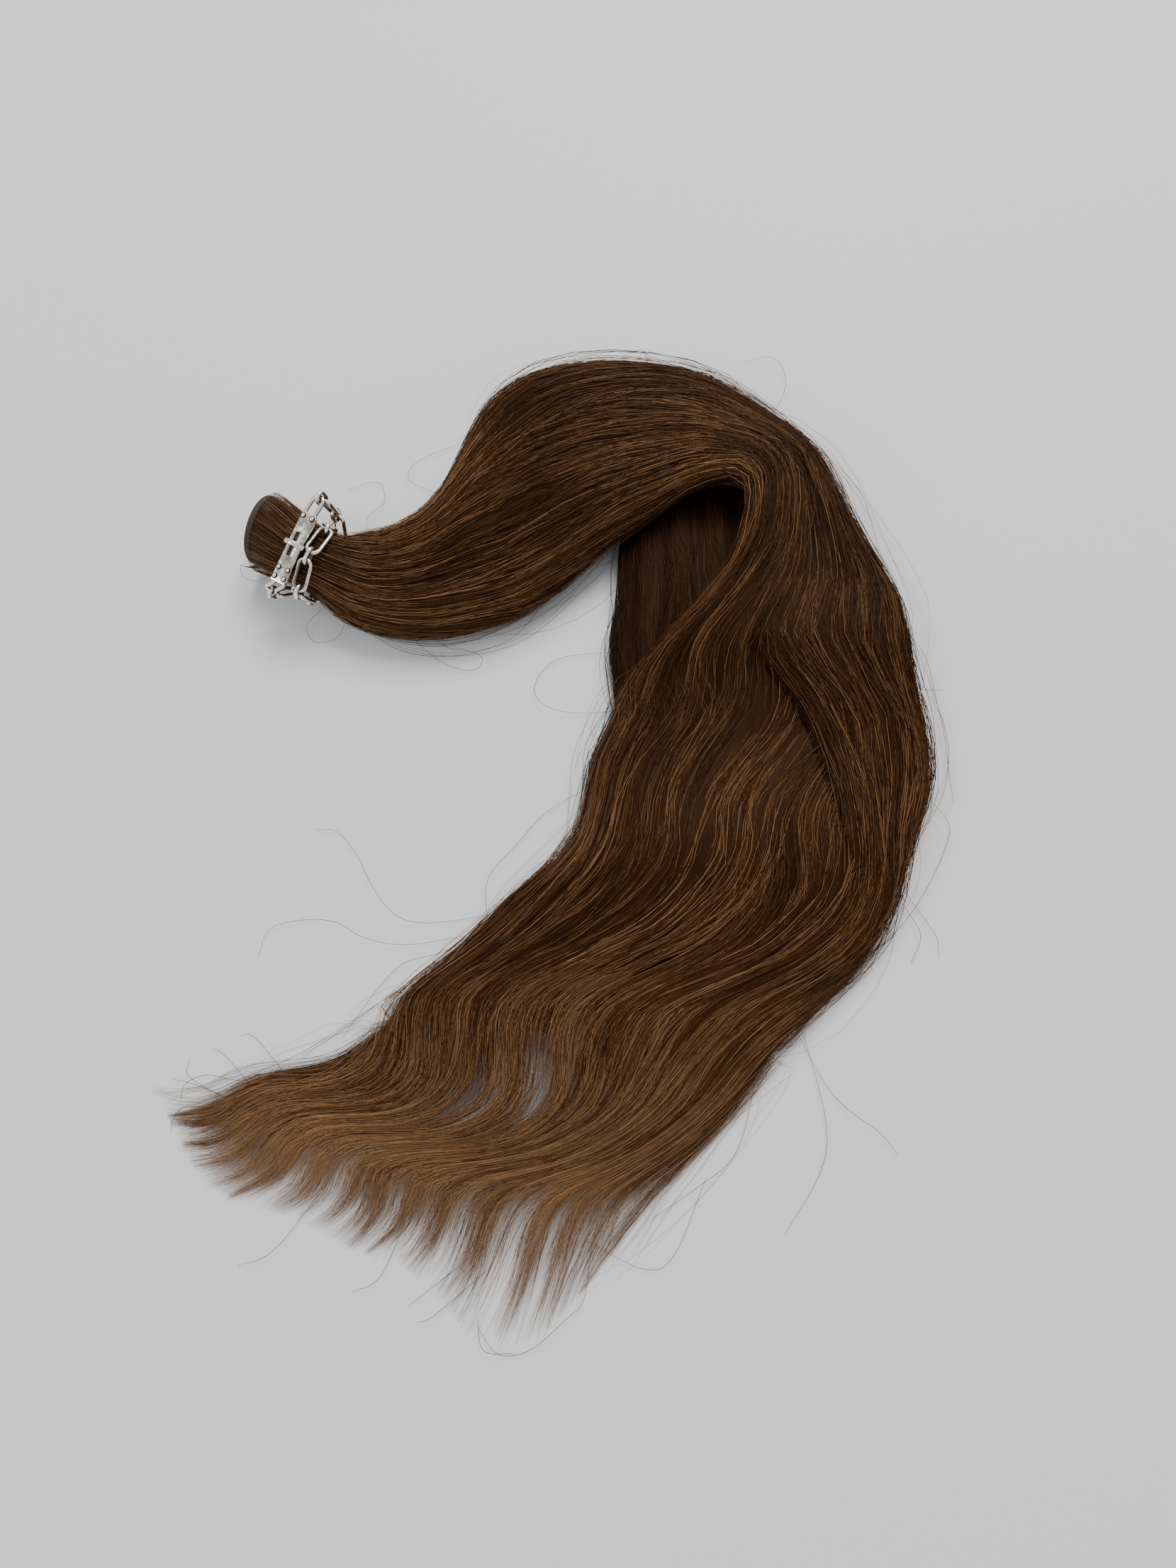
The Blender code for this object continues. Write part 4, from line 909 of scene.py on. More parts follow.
def closed_rings(fine, round_until):
    """Rings that also run back underneath, round at the neck and flat where the hair lies."""
    closed = []
    for i, ring in enumerate(fine):
        t = np.linspace(0, 1, BOTTOM_POINTS + 2)[1:-1, None]
        under = ring[-1] * (1 - t) + ring[0] * t
        roundness = np.clip((round_until - i) / SMOOTHING, 0.0, 1.0)
        sag = 4 * t[:, 0] * (1 - t[:, 0]) * 0.29 * np.linalg.norm(ring[-1] - ring[0]) / 1.41
        under[:, 2] = np.maximum(0.1 * MM, under[:, 2] - sag * roundness)
        closed.append(np.concatenate((ring, under)))
    return np.array(closed)


def core_mesh(name, fine, s, reach, round_until, depth):
    """A closed solid whose top lies a little below the rings."""
    across = np.gradient(fine, axis=1)
    along = np.gradient(fine, axis=0)
    normal = np.cross(across, along)
    normal /= np.linalg.norm(normal, axis=2)[:, :, None] + 1e-12
    if normal[:, fine.shape[1] // 2, 2].mean() < 0:
        normal = -normal
    sunk = fine - normal * depth
    sunk[:, :, 2] = np.maximum(sunk[:, :, 2], 0.1 * MM)
    closed = closed_rings(sunk, round_until)
    rings, points = closed.shape[:2]
    faces = quads(rings, points, closed=True)
    faces.append(tuple(range(points))[::-1])
    faces.append(tuple(range((rings - 1) * points, rings * points)))
    mesh = new_mesh(name, closed, faces)
    ends = [(0.0, s[ring]) for ring in (0, rings - 1) for _ in range(points)]
    flow_map(mesh, np.arange(points + 1) / points, s, ends)
    carry(mesh, "reach", np.repeat(reach[0] + (reach[1] - reach[0]) * s, points))
    middle = mesh.polygons[(rings // 2) * points + fine.shape[1] // 2]
    if middle.normal.z < 0:
        mesh.flip_normals()
    mesh.shade_smooth()
    return mesh


def drawn_in(fine, count):
    """The rings with the last few drawn in, so that the core ends thin and narrow."""
    drawn = fine.copy()
    for i in range(count):
        share = (i + 1) / count
        ring = drawn[len(fine) - count + i]
        middle = ring.mean(axis=0)
        ring[:, :2] = middle[:2] + (ring[:, :2] - middle[:2]) * (1 - 0.3 * share ** 2)
        ring[:, 2] *= 1 - 0.5 * share
    return drawn


def bared(fine):
    """The rings with both edges drawn in on the lower body, where only strands lie at the edge."""
    u = np.linspace(0.0, 1.0, fine.shape[1])
    drawn = fine.copy()
    for i, ring in enumerate(fine):
        share = smooth_step(BARE_FROM, BARE_AT, i / SMOOTHING - FIRST_PILE_RING)
        place = BARE_LEFT * share + (1 - (BARE_LEFT + BARE_RIGHT) * share) * u
        for axis in (0, 1):
            drawn[i, :, axis] = np.interp(place, u, ring[:, axis])
    return drawn


shaded_core_material = shaded_core_finish()
last_core_ring = (FIRST_PILE_RING + CORE_LAST_SECTION) * SMOOTHING + 1
core_rings = drawn_in(bared(upper_fine[:last_core_ring]), CORE_END_RINGS)
upper_core = core_mesh("hair_core", core_rings, upper_s[:last_core_ring], (0.0, 1.0),
                       5.5 * SMOOTHING, CORE_DEPTH)
# Painted shade: the same low reach makes the under core a little darker.
under_core = core_mesh("hair_under_core", under_fine, under_s, (0.0, 0.35), -1,
                       UNDER_CORE_DEPTH)
for mesh in (upper_core, under_core):
    mesh.materials.append(shaded_core_material)
dressed("hair_core", upper_core, "hair_brown", "hair")
dressed("hair_under_core", under_core, "hair_brown")
print("core has", len(upper_core.polygons), "faces")

# %% [markdown]
# ## Layers of locks
#
# Long hair doesn't lie in one sheet. Whole locks slide over each other, and each has a rounded edge
# that throws a thin shadow on what lies below. So a few wide locks are laid over the main sheet.
# Each one follows the same hair, but turns aside on its way down, as the table of layers says.

# %% Layers over the sheet
LAYER_POINTS = 25
LAYER_EASE = 3.5
LAYER_START_DEPTH = 1.6 * MM
# Left and right are places across the sheet. Sections are counted from the neck to the fringe.
# The turn is how far the layer moves across between two of the sections. A lean under 1 puts the
# highest part near the left edge, and over 1 near the right edge.
# Columns: name, left, right, first, last, turn, turns from, turns to, height in mm, lean
LAYERS = (
    ("turning_lock", 0.43, 1.00, 15.0, 27.0, 0.44, 17.0, 22.3, 2.6, 0.60),
    ("left_lock", 0.10, 0.36, 17.6, 26.4, 0.10, 17.5, 19.5, 2.2, 1.0),
    ("fold_lock", 0.16, 0.60, 8.5, 17.5, -0.25, 12.0, 17.0, 1.6, 0.8),
    ("crest_lock", 0.52, 0.90, 3.0, 13.5, 0.20, 4.0, 12.0, 1.6, 0.9),
    ("neck_lock", 0.30, 0.62, 0.5, 9.0, -0.20, 1.0, 8.0, 1.3, 1.0),
    ("middle_lock", 0.30, 0.60, 19.5, 27.6, -0.16, 21.0, 27.0, 1.8, 0.7),
    ("right_lock", 0.62, 0.94, 20.5, 28.6, -0.14, 22.0, 28.0, 1.8, 0.7),
)


def layer_rings(left, right, first, last, turn, turns_from, turns_to, height, lean):
    """Rings of a lock that lies over the upper sheet, and its places along the sheet."""
    steps = range(round(first * SMOOTHING), round(last * SMOOTHING) + 1)
    u = np.linspace(0.0, 1.0, RING_POINTS)
    w = np.linspace(0.0, 1.0, LAYER_POINTS)
    v = left + (right - left) * w
    weight = (1 - v) if turn > 0 else v
    profile = np.maximum(np.sin(math.pi * w ** lean), 0.0)
    rings = []
    for i in steps:
        number = i / SMOOTHING
        below = upper_fine[FIRST_PILE_RING * SMOOTHING + i]
        place = v + turn * weight * smooth_step(turns_from, turns_to, number)
        place = place + SWAY * 4 * v * (1 - v) * wave(number + FIRST_CREST - FIRST_SWAY, v)
        place = np.clip(place, 0.0, 1.0)
        ring = np.stack([np.interp(place, u, below[:, axis]) for axis in range(3)], axis=1)
        taper = (smooth_step(first, first + LAYER_EASE, number)
                 * (1 - smooth_step(last - LAYER_EASE, last, number)))
        ring[:, 2] += height * MM * profile * taper - LAYER_START_DEPTH * (1 - taper)
        ring[:, 2] = np.maximum(ring[:, 2], 0.3 * MM)
        rings.append(ring)
    return np.array(rings)


layers = {}
for name, *sizes in LAYERS:
    fine = layer_rings(*sizes)
    ends = (section_s(round(sizes[2])), section_s(round(sizes[3])))
    layers[name] = sheet_object(name, fine, ends)[0]
    body = core_mesh(name + "_core", fine, lengthwise_share(fine)[0], ends, -1,
                     LAYER_CORE_DEPTH)
    body.materials.append(shaded_core_material)
    dressed(name + "_core", body, "hair_brown")

# %% [markdown]
# ## Laying the strands
#
# The hair isn't equally dense or wavy everywhere, so it is laid in stretches. On the arm it is
# sleek and tight. Over the fold it turns, on the body it parts into locks, and at the fringe it
# thins out into pointed wisps. Each stretch is one piece with its own numbers.

# %% Strands
USUAL = {"Sink": 0.8 * MM, "Gather": 0.6, "Tip Gather": 0.0, "Drift": 0.0, "Cross": 0.06,
         "Sway": 1.0, "Uneven": 0.0, "Left": 0.0, "Right": 1.0, "Flare": 0.0}
DENSITY = 1.0


def lay(name, sheet, **sizes):
    """One piece of strands on a sheet. An underscore in a size's name stands for a space."""
    sizes = {key.replace("_", " "): value for key, value in sizes.items()}
    sizes["Strands"] = int(sizes["Strands"] * DENSITY)
    mesh = mesh_by(strands, name, sheet, {**USUAL, "Finish": strand_finish, **sizes})
    dressed(name, mesh, "hair_brown")


lay("arm_strands", upper_mesh, Strands=1200, Points=13, From=0.0, To=section_s(12),
    Shortest=0.14, Longest=0.30, Thickness=0.27 * MM, Lift=1.0 * MM, Locks=34.0, Gather=0.5,
    Lock_Height=0.45 * MM, Drift=-0.5, Wander=0.012, Stray=2.5 * MM, Seed=11,
    Finish=arm_sheen_finish)
lay("fold_strands", upper_mesh, Strands=1200, Points=14, From=section_s(6), To=section_s(19),
    Shortest=0.14, Longest=0.24, Thickness=0.27 * MM, Lift=1.1 * MM, Locks=38.0,
    Lock_Height=0.5 * MM, Drift=-0.2, Wander=0.014, Stray=4.0 * MM, Seed=23)
lay("body_strands", upper_mesh, Strands=1300, Points=14, From=section_s(16), To=section_s(28),
    Shortest=0.14, Longest=0.26, Thickness=0.25 * MM, Lift=1.5 * MM, Locks=40.0,
    Gather=0.75, Lock_Height=0.8 * MM, Wander=0.02, Stray=6.0 * MM, Seed=37)
lay("lower_strands", upper_mesh, Strands=1450, Points=16, From=section_s(23), To=0.975,
    Shortest=0.16, Longest=0.32, Thickness=0.22 * MM, Lift=1.3 * MM, Sink=0.4 * MM, Locks=30.0,
    Gather=0.7, Tip_Gather=0.7, Lock_Height=0.6 * MM, Cross=0.04, Wander=0.022, Uneven=0.12,
    Stray=6.0 * MM, Flare=5.0 * MM, Seed=41)
lay("fringe_strands", upper_mesh, Strands=1300, Points=16, From=section_s(26), To=1.0,
    Shortest=0.20, Longest=0.32, Thickness=0.20 * MM, Lift=1.0 * MM, Sink=0.1 * MM, Locks=15.0,
    Gather=0.4, Tip_Gather=0.62, Lock_Height=0.2 * MM, Cross=0.04, Wander=0.025,
    Uneven=0.04, Left=0.01, Right=0.985, Stray=5.0 * MM, Flare=12.0 * MM, Seed=53)
lay("fringe_wisps", upper_mesh, Strands=900, Points=16, From=section_s(28), To=1.0,
    Shortest=0.11, Longest=0.20, Thickness=0.18 * MM, Lift=1.2 * MM, Sink=0.1 * MM, Locks=45.0,
    Gather=0.5, Tip_Gather=0.8, Lock_Height=0.2 * MM, Cross=0.06, Wander=0.03,
    Uneven=0.03, Left=0.01, Right=0.985, Stray=5.0 * MM, Flare=13.0 * MM, Seed=57)
lay("under_strands", under_mesh, Strands=450, Points=9, From=0.0, To=1.0,
    Shortest=0.5, Longest=0.9, Thickness=0.28 * MM, Lift=0.8 * MM, Sink=0.4 * MM, Locks=30.0,
    Gather=0.5, Lock_Height=0.3 * MM, Wander=0.02, Sway=0.0, Stray=6.0 * MM, Seed=61,
    Finish=shaded_finish)
LAYER_STRANDS = {"turning_lock": 700, "left_lock": 300, "fold_lock": 300, "crest_lock": 300,
                 "neck_lock": 260, "middle_lock": 300, "right_lock": 300}
for number, (name, sheet) in enumerate(layers.items()):
    lay(name + "_strands", sheet, Strands=LAYER_STRANDS[name], Points=13, From=0.0, To=1.0,
        Shortest=0.55, Longest=0.98, Thickness=0.26 * MM, Lift=0.9 * MM, Sink=0.9 * MM, Locks=12.0,
        Gather=0.45, Lock_Height=0.4 * MM, Cross=0.12, Wander=0.03, Sway=0.0, Stray=6.0 * MM,
        Left=0.01, Right=0.99, Seed=100 + number)
for name, left, right, seed in (("left_fuzz", 0.0, 0.10, 81), ("right_fuzz", 0.90, 1.0, 83)):
    lay(name, upper_mesh, Strands=420, Points=13, From=section_s(1), To=1.0, Shortest=0.10,
        Longest=0.22, Thickness=0.15 * MM, Lift=2.5 * MM, Sink=0.5 * MM, Locks=3.0, Gather=0.0,
        Lock_Height=0.0, Left=left, Right=right, Wander=0.02, Sway=0.0, Stray=18.0 * MM,
        Flare=10.0 * MM, Seed=seed)

# %% [markdown]
# ## Loose hairs
#
# A few single hairs have come away from the hair altogether. They curl over the table beside it,
# some in open loops. Chance doesn't make such curls, so each one is drawn as a row of places on
# the table, and a fine round thread is run through them.

# %% Loose hairs
LOOSE_THICKNESS = 0.16 * MM
LOOSE_RISE = 2.5 * MM
LOOSE_STEPS = 7
# Each row is one hair, as x and y in mm along its way.
LOOSE_HAIRS = (
    ((-110, 87), (-115, 87), (-114, 82), (-110, 80), (-104, 83)),
    ((-83, 72), (-90, 63), (-86, 56), (-79, 58), (-75, 72)),
    ((-58, 64), (-48, 53), (-39, 47), (-31, 46), (-29, 50), (-35, 53), (-42, 55), (-52, 65)),
    ((-79, 72), (-70, 62), (-56, 53), (-37, 51), (-21, 56), (-12, 66), (-4, 80)),
    ((18, 53), (0, 51), (-8, 46), (-11, 38), (-7, 32), (3, 30), (18, 31)),
    ((14, 7), (-6, -5), (-17, -18), (-25, -29), (-24, -45)),
    ((-81, -11), (-74, -12), (-67, -20), (-61, -31), (-53, -40), (-42, -42), (-22, -39)),
    ((-96, -53), (-93, -44), (-82, -41), (-72, -42), (-63, -47), (-50, -49), (-31, -46)),
    ((-68, -78), (-58, -63), (-50, -55), (-37, -51), (-15, -38)),
    ((-17, 160), (-3, 173), (13, 178), (34, 175), (57, 162)),
    ((18, 166), (29, 174), (27, 179), (21, 178)),
    ((73, 146), (81, 162), (80, 172), (74, 176), (66, 175)),
    ((110, 66), (122, 53), (125, 30), (126, 13), (127, -2)),
    ((110, 44), (122, 38), (127, 39)),
    ((112, 6), (124, -8), (121, -20), (110, -38), (97, -52)),
    ((100, -25), (111, -44), (108, -55)),
    ((102, -22), (115, -44), (117, -53)),
    ((70, -74), (79, -92), (86, -100), (94, -106), (99, -112)),
    ((72, -72), (78, -102), (75, -117), (64, -134)),
    ((58, -90), (51, -111), (39, -121), (25, -130)),
    ((-84, -93), (-101, -90), (-108, -89), (-114, -92), (-115, -97)),
    ((-50, -62), (-73, -78), (-87, -86), (-107, -91)),
    ((10, 86), (34, 97), (53, 95), (70, 99)),
    ((92, 136), (105, 118), (108, 104), (112, 88)),
    ((-30, 142), (-50, 133), (-56, 128), (-57, 121), (-43, 115)),
    ((-80, 118), (-69, 121), (-66, 112), (-72, 104), (-67, 95)),
    ((-96, -98), (-110, -92), (-118, -90)),
    ((-94, -101), (-112, -98), (-116, -102), (-117, -105)),
    ((-98, -97), (-112, -90), (-114, -84)),
    ((-92, -94), (-103, -83), (-107, -81)),
    ((-82, -91), (-94, -78), (-99, -77)),
    ((-52, -63), (-66, -74), (-74, -80), (-80, -83)),
    ((-68, -118), (-83, -138), (-93, -142)),
    ((-45, -128), (-52, -145), (-60, -149)),
    ((-20, -142), (-36, -155), (-41, -157)),
    ((-24, -138), (-44, -153)),
    ((-24, -158), (-18, -165), (-9, -164), (1, -156), (6, -151), (8, -138)),
    ((6, -135), (23, -143), (32, -139), (42, -118)),
    ((-24, -156), (-22, -164), (-13, -165)),
)


def loose_hairs(rows):
    """One mesh with a thin thread through each row of places."""
    path = bpy.data.curves.new("loose_hairs", "CURVE")
    path.dimensions = "3D"
    path.bevel_depth = LOOSE_THICKNESS / 2
    path.bevel_resolution = 0
    path.use_fill_caps = True
    for row in rows:
        corners = [np.array([[x * MM, y * MM, 0.0]]) for x, y in row]
        line = smooth_rings(corners, LOOSE_STEPS)[:, 0]
        t = np.linspace(0.0, 1.0, len(line))
        line[:, 2] = 0.8 * MM + LOOSE_RISE * np.sin(math.pi * t) ** 2 * (0.6 + 0.4 * np.cos(9 * t))
        thread = path.splines.new("POLY")
        thread.points.add(len(line) - 1)
        for point, place, share in zip(thread.points, line, t):
            point.co = (*place, 1.0)
            point.radius = 0.6 + 0.4 * math.sin(math.pi * share)
    mesh = plain_mesh(link(bpy.data.objects.new("loose_source", path)), "loose_hairs")
    for name, value in (("shade", 0.5), ("lock_shade", 0.5), ("reach", 0.6)):
        carry(mesh, name, [value] * len(mesh.vertices))
    mesh.materials.clear()
    mesh.materials.append(strand_finish)
    return mesh


loose = dressed("loose_hairs", loose_hairs(LOOSE_HAIRS), "hair_brown")
print("loose hairs have", len(loose.data.polygons), "faces")

# %% [markdown]
# ## Old silver
#
# The bracelet is worn silver. Its high parts are polished by use, and its hollows have gone dark.
# A number says how polished each place is: 1 on the outside of a wire, 0 in a hollow. On swept
# pieces it also holds painted light and shade: their upper side is lighter, their lower side
# darker.
# A little noise is added to it, because no wear is even, and then it sets colour and roughness.

# %% Silver finish
TARNISH_AND_SHADE = (0.022, 0.019, 0.017)
DULL_SILVER = (0.18, 0.158, 0.135)
BRIGHT_SILVER = (0.93, 0.86, 0.765)


def silver_finish():
    finish = Finish("old_silver_worn", {"Metallic": 1.0})
    uneven = finish.product(finish.minus(finish.noise(700.0, 5.0), 0.5), 0.42)
    worn_and_shaded = finish.sum(finish.attribute("wear_and_shade"), uneven)
    colour = finish.ramp(worn_and_shaded, ((0.12, TARNISH_AND_SHADE), (0.58, DULL_SILVER), (0.95, BRIGHT_SILVER)))
    return finish.done(Base_Color=colour, Roughness=finish.spread(worn_and_shaded, 0.45, 0.16),
                       Normal=finish.bump(finish.noise(1600.0), 0.25, 0.08 * MM))


silver = silver_finish()

# %% [markdown]
# ## The chain
#
# Long oval links alternate with short ones. All long links are alike, so the tree makes one link
# and sets a copy at each place. A link is a rounded rectangle of wire. The places come from the
# packed links: the middle of each link, its long direction, and the direction through its hole.

# %% Chain links
# Length and width of each kind of link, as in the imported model.
LONG_LINK = (12.0 * MM, 5.6 * MM)
SHORT_LINK = (6.4 * MM, 4.6 * MM)
CAD_WIRE = 1.15 * MM
WIRE = 1.4 * MM
WIRE_SIDES = 12


def link_places(kind):
    """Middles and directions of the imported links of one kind."""
    names = sorted(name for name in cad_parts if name.startswith(kind))
    found = []
    for name in names:
        corners = np.array([corner.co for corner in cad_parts[name].data.vertices])
        middle = corners.mean(axis=0)
        ways = np.linalg.svd(corners - middle, full_matrices=False)[2]
        found.append((middle, ways[0], ways[2]))
    return names, found


def places_mesh(name, rows):
    """Loose points. Each row holds a place, a direction ahead, a direction up and a kind."""
    mesh = new_mesh(name, [row[0] for row in rows])
    carry(mesh, "ahead", [row[1] for row in rows], "FLOAT_VECTOR")
    carry(mesh, "up", [row[2] for row in rows], "FLOAT_VECTOR")
    carry(mesh, "kind", [row[3] for row in rows])
    return mesh


def set_on_places(tree, shape, kind):
    """Copies of a shape at the places of one kind."""
    axes = {0: tree.named("ahead", "FLOAT_VECTOR"), 1: tree.named("up", "FLOAT_VECTOR")}
    turn = tree.node("FunctionNodeAxesToRotation", axes, primary_axis="X", secondary_axis="Z")
    chosen = tree.node("FunctionNodeCompare",
                       {0: tree.named("kind"), 1: float(kind), "Epsilon": 0.1},
                       data_type="FLOAT", operation="EQUAL")
    return tree.node("GeometryNodeInstanceOnPoints",
                     {"Points": tree.of("Geometry"), "Selection": chosen, "Instance": shape,
                      "Rotation": turn})


def joined(tree, parts):
    made = tree.group.nodes.new("GeometryNodeJoinGeometry")
    for part in reversed(parts):
        tree.group.links.new(part, made.inputs[0])
    return made.outputs[0]


def link_shape(tree, length, width):
    """One link, dark on its inner side and polished on its outer side."""
    wire = tree.of("Wire")
    length, width = (tree.minus(size + WIRE - CAD_WIRE, wire) for size in (length, width))
    outline = tree.node("GeometryNodeCurvePrimitiveQuadrilateral", {0: length, 1: width})
    corners = {"Curve": outline, "Count": 7, "Radius": tree.product(width, 0.499)}
    oval = tree.node("GeometryNodeFilletCurve", corners, mode="POLY")
    ring = tree.node("GeometryNodeCurvePrimitiveCircle",
                     {"Resolution": WIRE_SIDES, "Radius": tree.math("DIVIDE", wire, 2.0)})
    shape = tree.node("GeometryNodeCurveToMesh", {"Curve": oval, "Profile Curve": ring})
    place = tree.node("GeometryNodeInputPosition", {})
    out = tree.node("ShaderNodeVectorMath", {0: place}, operation="NORMALIZE")
    ways = {0: out, 1: tree.node("GeometryNodeInputNormal", {})}
    faces = tree.node("ShaderNodeVectorMath", ways, 1, operation="DOT_PRODUCT")
    return tree.store(shape, "wear_and_shade", tree.sum(0.68, tree.product(0.42, faces)))


links = Tree("chain links", {"Wire": "Float", "Finish": "Material"})
shapes = [set_on_places(links, link_shape(links, *size), kind)
          for kind, size in enumerate((LONG_LINK, SHORT_LINK))]
links.finish(joined(links, shapes), links.of("Finish"))

long_names, long_places = link_places("long_link")
short_names, short_places = link_places("short_link")
rows = [(*place, 0.0) for place in long_places] + [(*place, 1.0) for place in short_places]
chain = mesh_by(links, "chain_links", places_mesh("chain_places", rows),
                {"Wire": WIRE, "Finish": silver})
dressed("chain_links", chain, "old_silver", *long_names, *short_names)
print(len(long_names), "long links and", len(short_names), "short ones")

# %% [markdown]
# ## The clasp
#
# The clasp is made in its own flat drawing: X runs along the plate and Z out of the neck. A plate
# with a slot lies on a plain bar, and six rivets hold them together. A U of wire is soldered to the
# end of each. At the end everything is moved to its place on the neck by one matrix.

# %% Clasp frame and bars
CLASP_LEAN_DEG = -20.0
CLASP_GAP = 0.3 * MM
BASE_LENGTH = 24.0 * MM
BASE_WIDTH = 4.6 * MM
BASE_THICKNESS = 1.0 * MM
PLATE_LENGTH = 25.0 * MM
PLATE_WIDTH = 5.4 * MM
PLATE_THICKNESS = 1.2 * MM
SLOT_LENGTH = 8.4 * MM
SLOT_WIDTH = 2.5 * MM
SLOT_SHIFT = 1.2 * MM
SLOT_MARGIN = 0.01 * MM
BAR_EDGE = 0.28 * MM
BAR_RIM = 0.97
LONGEST_EDGE = 2.5 * MM
BASE_BOTTOM = WAIST_RADIUS + CLASP_GAP
BASE_TOP = BASE_BOTTOM + BASE_THICKNESS
PLATE_BOTTOM = BASE_TOP + CLASP_GAP
PLATE_TOP = PLATE_BOTTOM + PLATE_THICKNESS


def clasp_matrix():
    lean = math.radians(CLASP_LEAN_DEG)
    along, across = directions(NECK_TURN_DEG)
    up = np.array((0.0, 0.0, 1.0))
    out = across * math.sin(lean) + up * math.cos(lean)
    lengthwise = across * math.cos(lean) - up * math.sin(lean)
    matrix = Matrix((Vector(lengthwise), Vector(-along), Vector(out))).transposed().to_4x4()
    matrix.translation = Vector(neck_centre())
    return matrix


to_neck = clasp_matrix()


def bar_piece(name, length, width, bottom, thickness, slot, polish):
    """A bar with soft edges, with or without a slot. The polish is the wear of its faces."""
    shape = bmesh.new()
    if slot:
        rows_x = (-length / 2, SLOT_SHIFT - SLOT_LENGTH / 2, SLOT_SHIFT + SLOT_LENGTH / 2,
                  length / 2)
        rows_y = (-width / 2, -SLOT_WIDTH / 2, SLOT_WIDTH / 2, width / 2)
    else:
        rows_x = (-length / 2, length / 2)
        rows_y = (-width / 2, width / 2)
    levels = (bottom, bottom + thickness)
    grid = {}
    for i, x in enumerate(rows_x):
        for j, y in enumerate(rows_y):
            for k, z in enumerate(levels):
                grid[i, j, k] = shape.verts.new((x, y, z))
    for i in range(len(rows_x) - 1):
        for j in range(len(rows_y) - 1):
            if slot and (i, j) == (1, 1):
                corners = ((1, 1), (2, 1), (2, 2), (1, 2))
                for a, b in zip(corners, corners[1:] + corners[:1]):
                    shape.faces.new((grid[*a, 0], grid[*b, 0], grid[*b, 1], grid[*a, 1]))
                continue
            square = ((i, j), (i + 1, j), (i + 1, j + 1), (i, j + 1))
            for k in (0, 1):
                shape.faces.new([grid[*corner, k] for corner in square])
    last_x = len(rows_x) - 1
    last_y = len(rows_y) - 1
    rim = [(i, 0) for i in range(last_x)] + [(last_x, j) for j in range(last_y)]
    rim += [(i, last_y) for i in range(last_x, 0, -1)] + [(0, j) for j in range(last_y, 0, -1)]
    for a, b in zip(rim, rim[1:] + rim[:1]):
        shape.faces.new((grid[*a, 0], grid[*b, 0], grid[*b, 1], grid[*a, 1]))
    bmesh.ops.recalc_face_normals(shape, faces=shape.faces)
    sharp = [edge for edge in shape.edges if edge.calc_face_angle(0.0) > 1.0]
    bmesh.ops.bevel(shape, geom=sharp, offset=BAR_EDGE, segments=3, profile=0.6, affect="EDGES")
    long = [edge for edge in shape.edges if edge.calc_length() > LONGEST_EDGE]
    bmesh.ops.subdivide_edges(shape, edges=long, cuts=3, use_grid_fill=True)
    mesh = bpy.data.meshes.new(name)
    shape.to_mesh(mesh)
    shape.free()
    middle = bottom + thickness / 2
    values = []
    for corner in mesh.vertices:
        x, y, z = corner.co
        at_rim = max(abs(x) / (length / 2), abs(y) / (width / 2)) > BAR_RIM
        in_slot = (slot and abs(x - SLOT_SHIFT) < SLOT_LENGTH / 2 + SLOT_MARGIN
                   and abs(y) < SLOT_WIDTH / 2 + SLOT_MARGIN and z < middle + 0.3 * thickness)
        values.append(0.1 if in_slot else 0.95 if at_rim else polish)
    carry(mesh, "wear_and_shade", values)
    mesh.materials.append(silver)
    return mesh


plate_mesh = bar_piece("clasp_plate_worn", PLATE_LENGTH, PLATE_WIDTH, PLATE_BOTTOM,
                       PLATE_THICKNESS, slot=True, polish=0.70)
base_mesh = bar_piece("clasp_base_worn", BASE_LENGTH, BASE_WIDTH, BASE_BOTTOM, BASE_THICKNESS,
                      slot=False, polish=0.9)
print("plate has", len(plate_mesh.polygons), "faces")

# %% [markdown]
# Wires and the knob are swept: a small outline is carried along a path, and each step leaves a ring
# of corners that is joined to the next one. The wear of a swept piece follows its outline: the
# upper side is lighter and the lower side darker, partly polish and tarnish and partly painted
# light from above and painted shade below.

# %% Loops and knob
LOOP_WIDTH = 4.9 * MM
LOOP_ROOT = 1.5 * MM
LOOP_STRAIGHT = 0.8 * MM
BEND_STEPS = 10
# Reach, droop in degrees and slide to one side of the two wires.
STIRRUP = (7.2 * MM, 14.0, 0.0)
FRONT_LOOP = (7.0 * MM, 52.0, 3.2 * MM)
KNOB_LENGTH = 7.6 * MM
KNOB_WIDTH = 1.7 * MM
KNOB_STRIP = 0.9 * MM
KNOB_RISE = 2.2 * MM
KNOB_ARCH = 2.2
KNOB_STEM = 0.7 * MM
KNOB_STEPS = 22
SHARP_FROM_DEG = 40.0


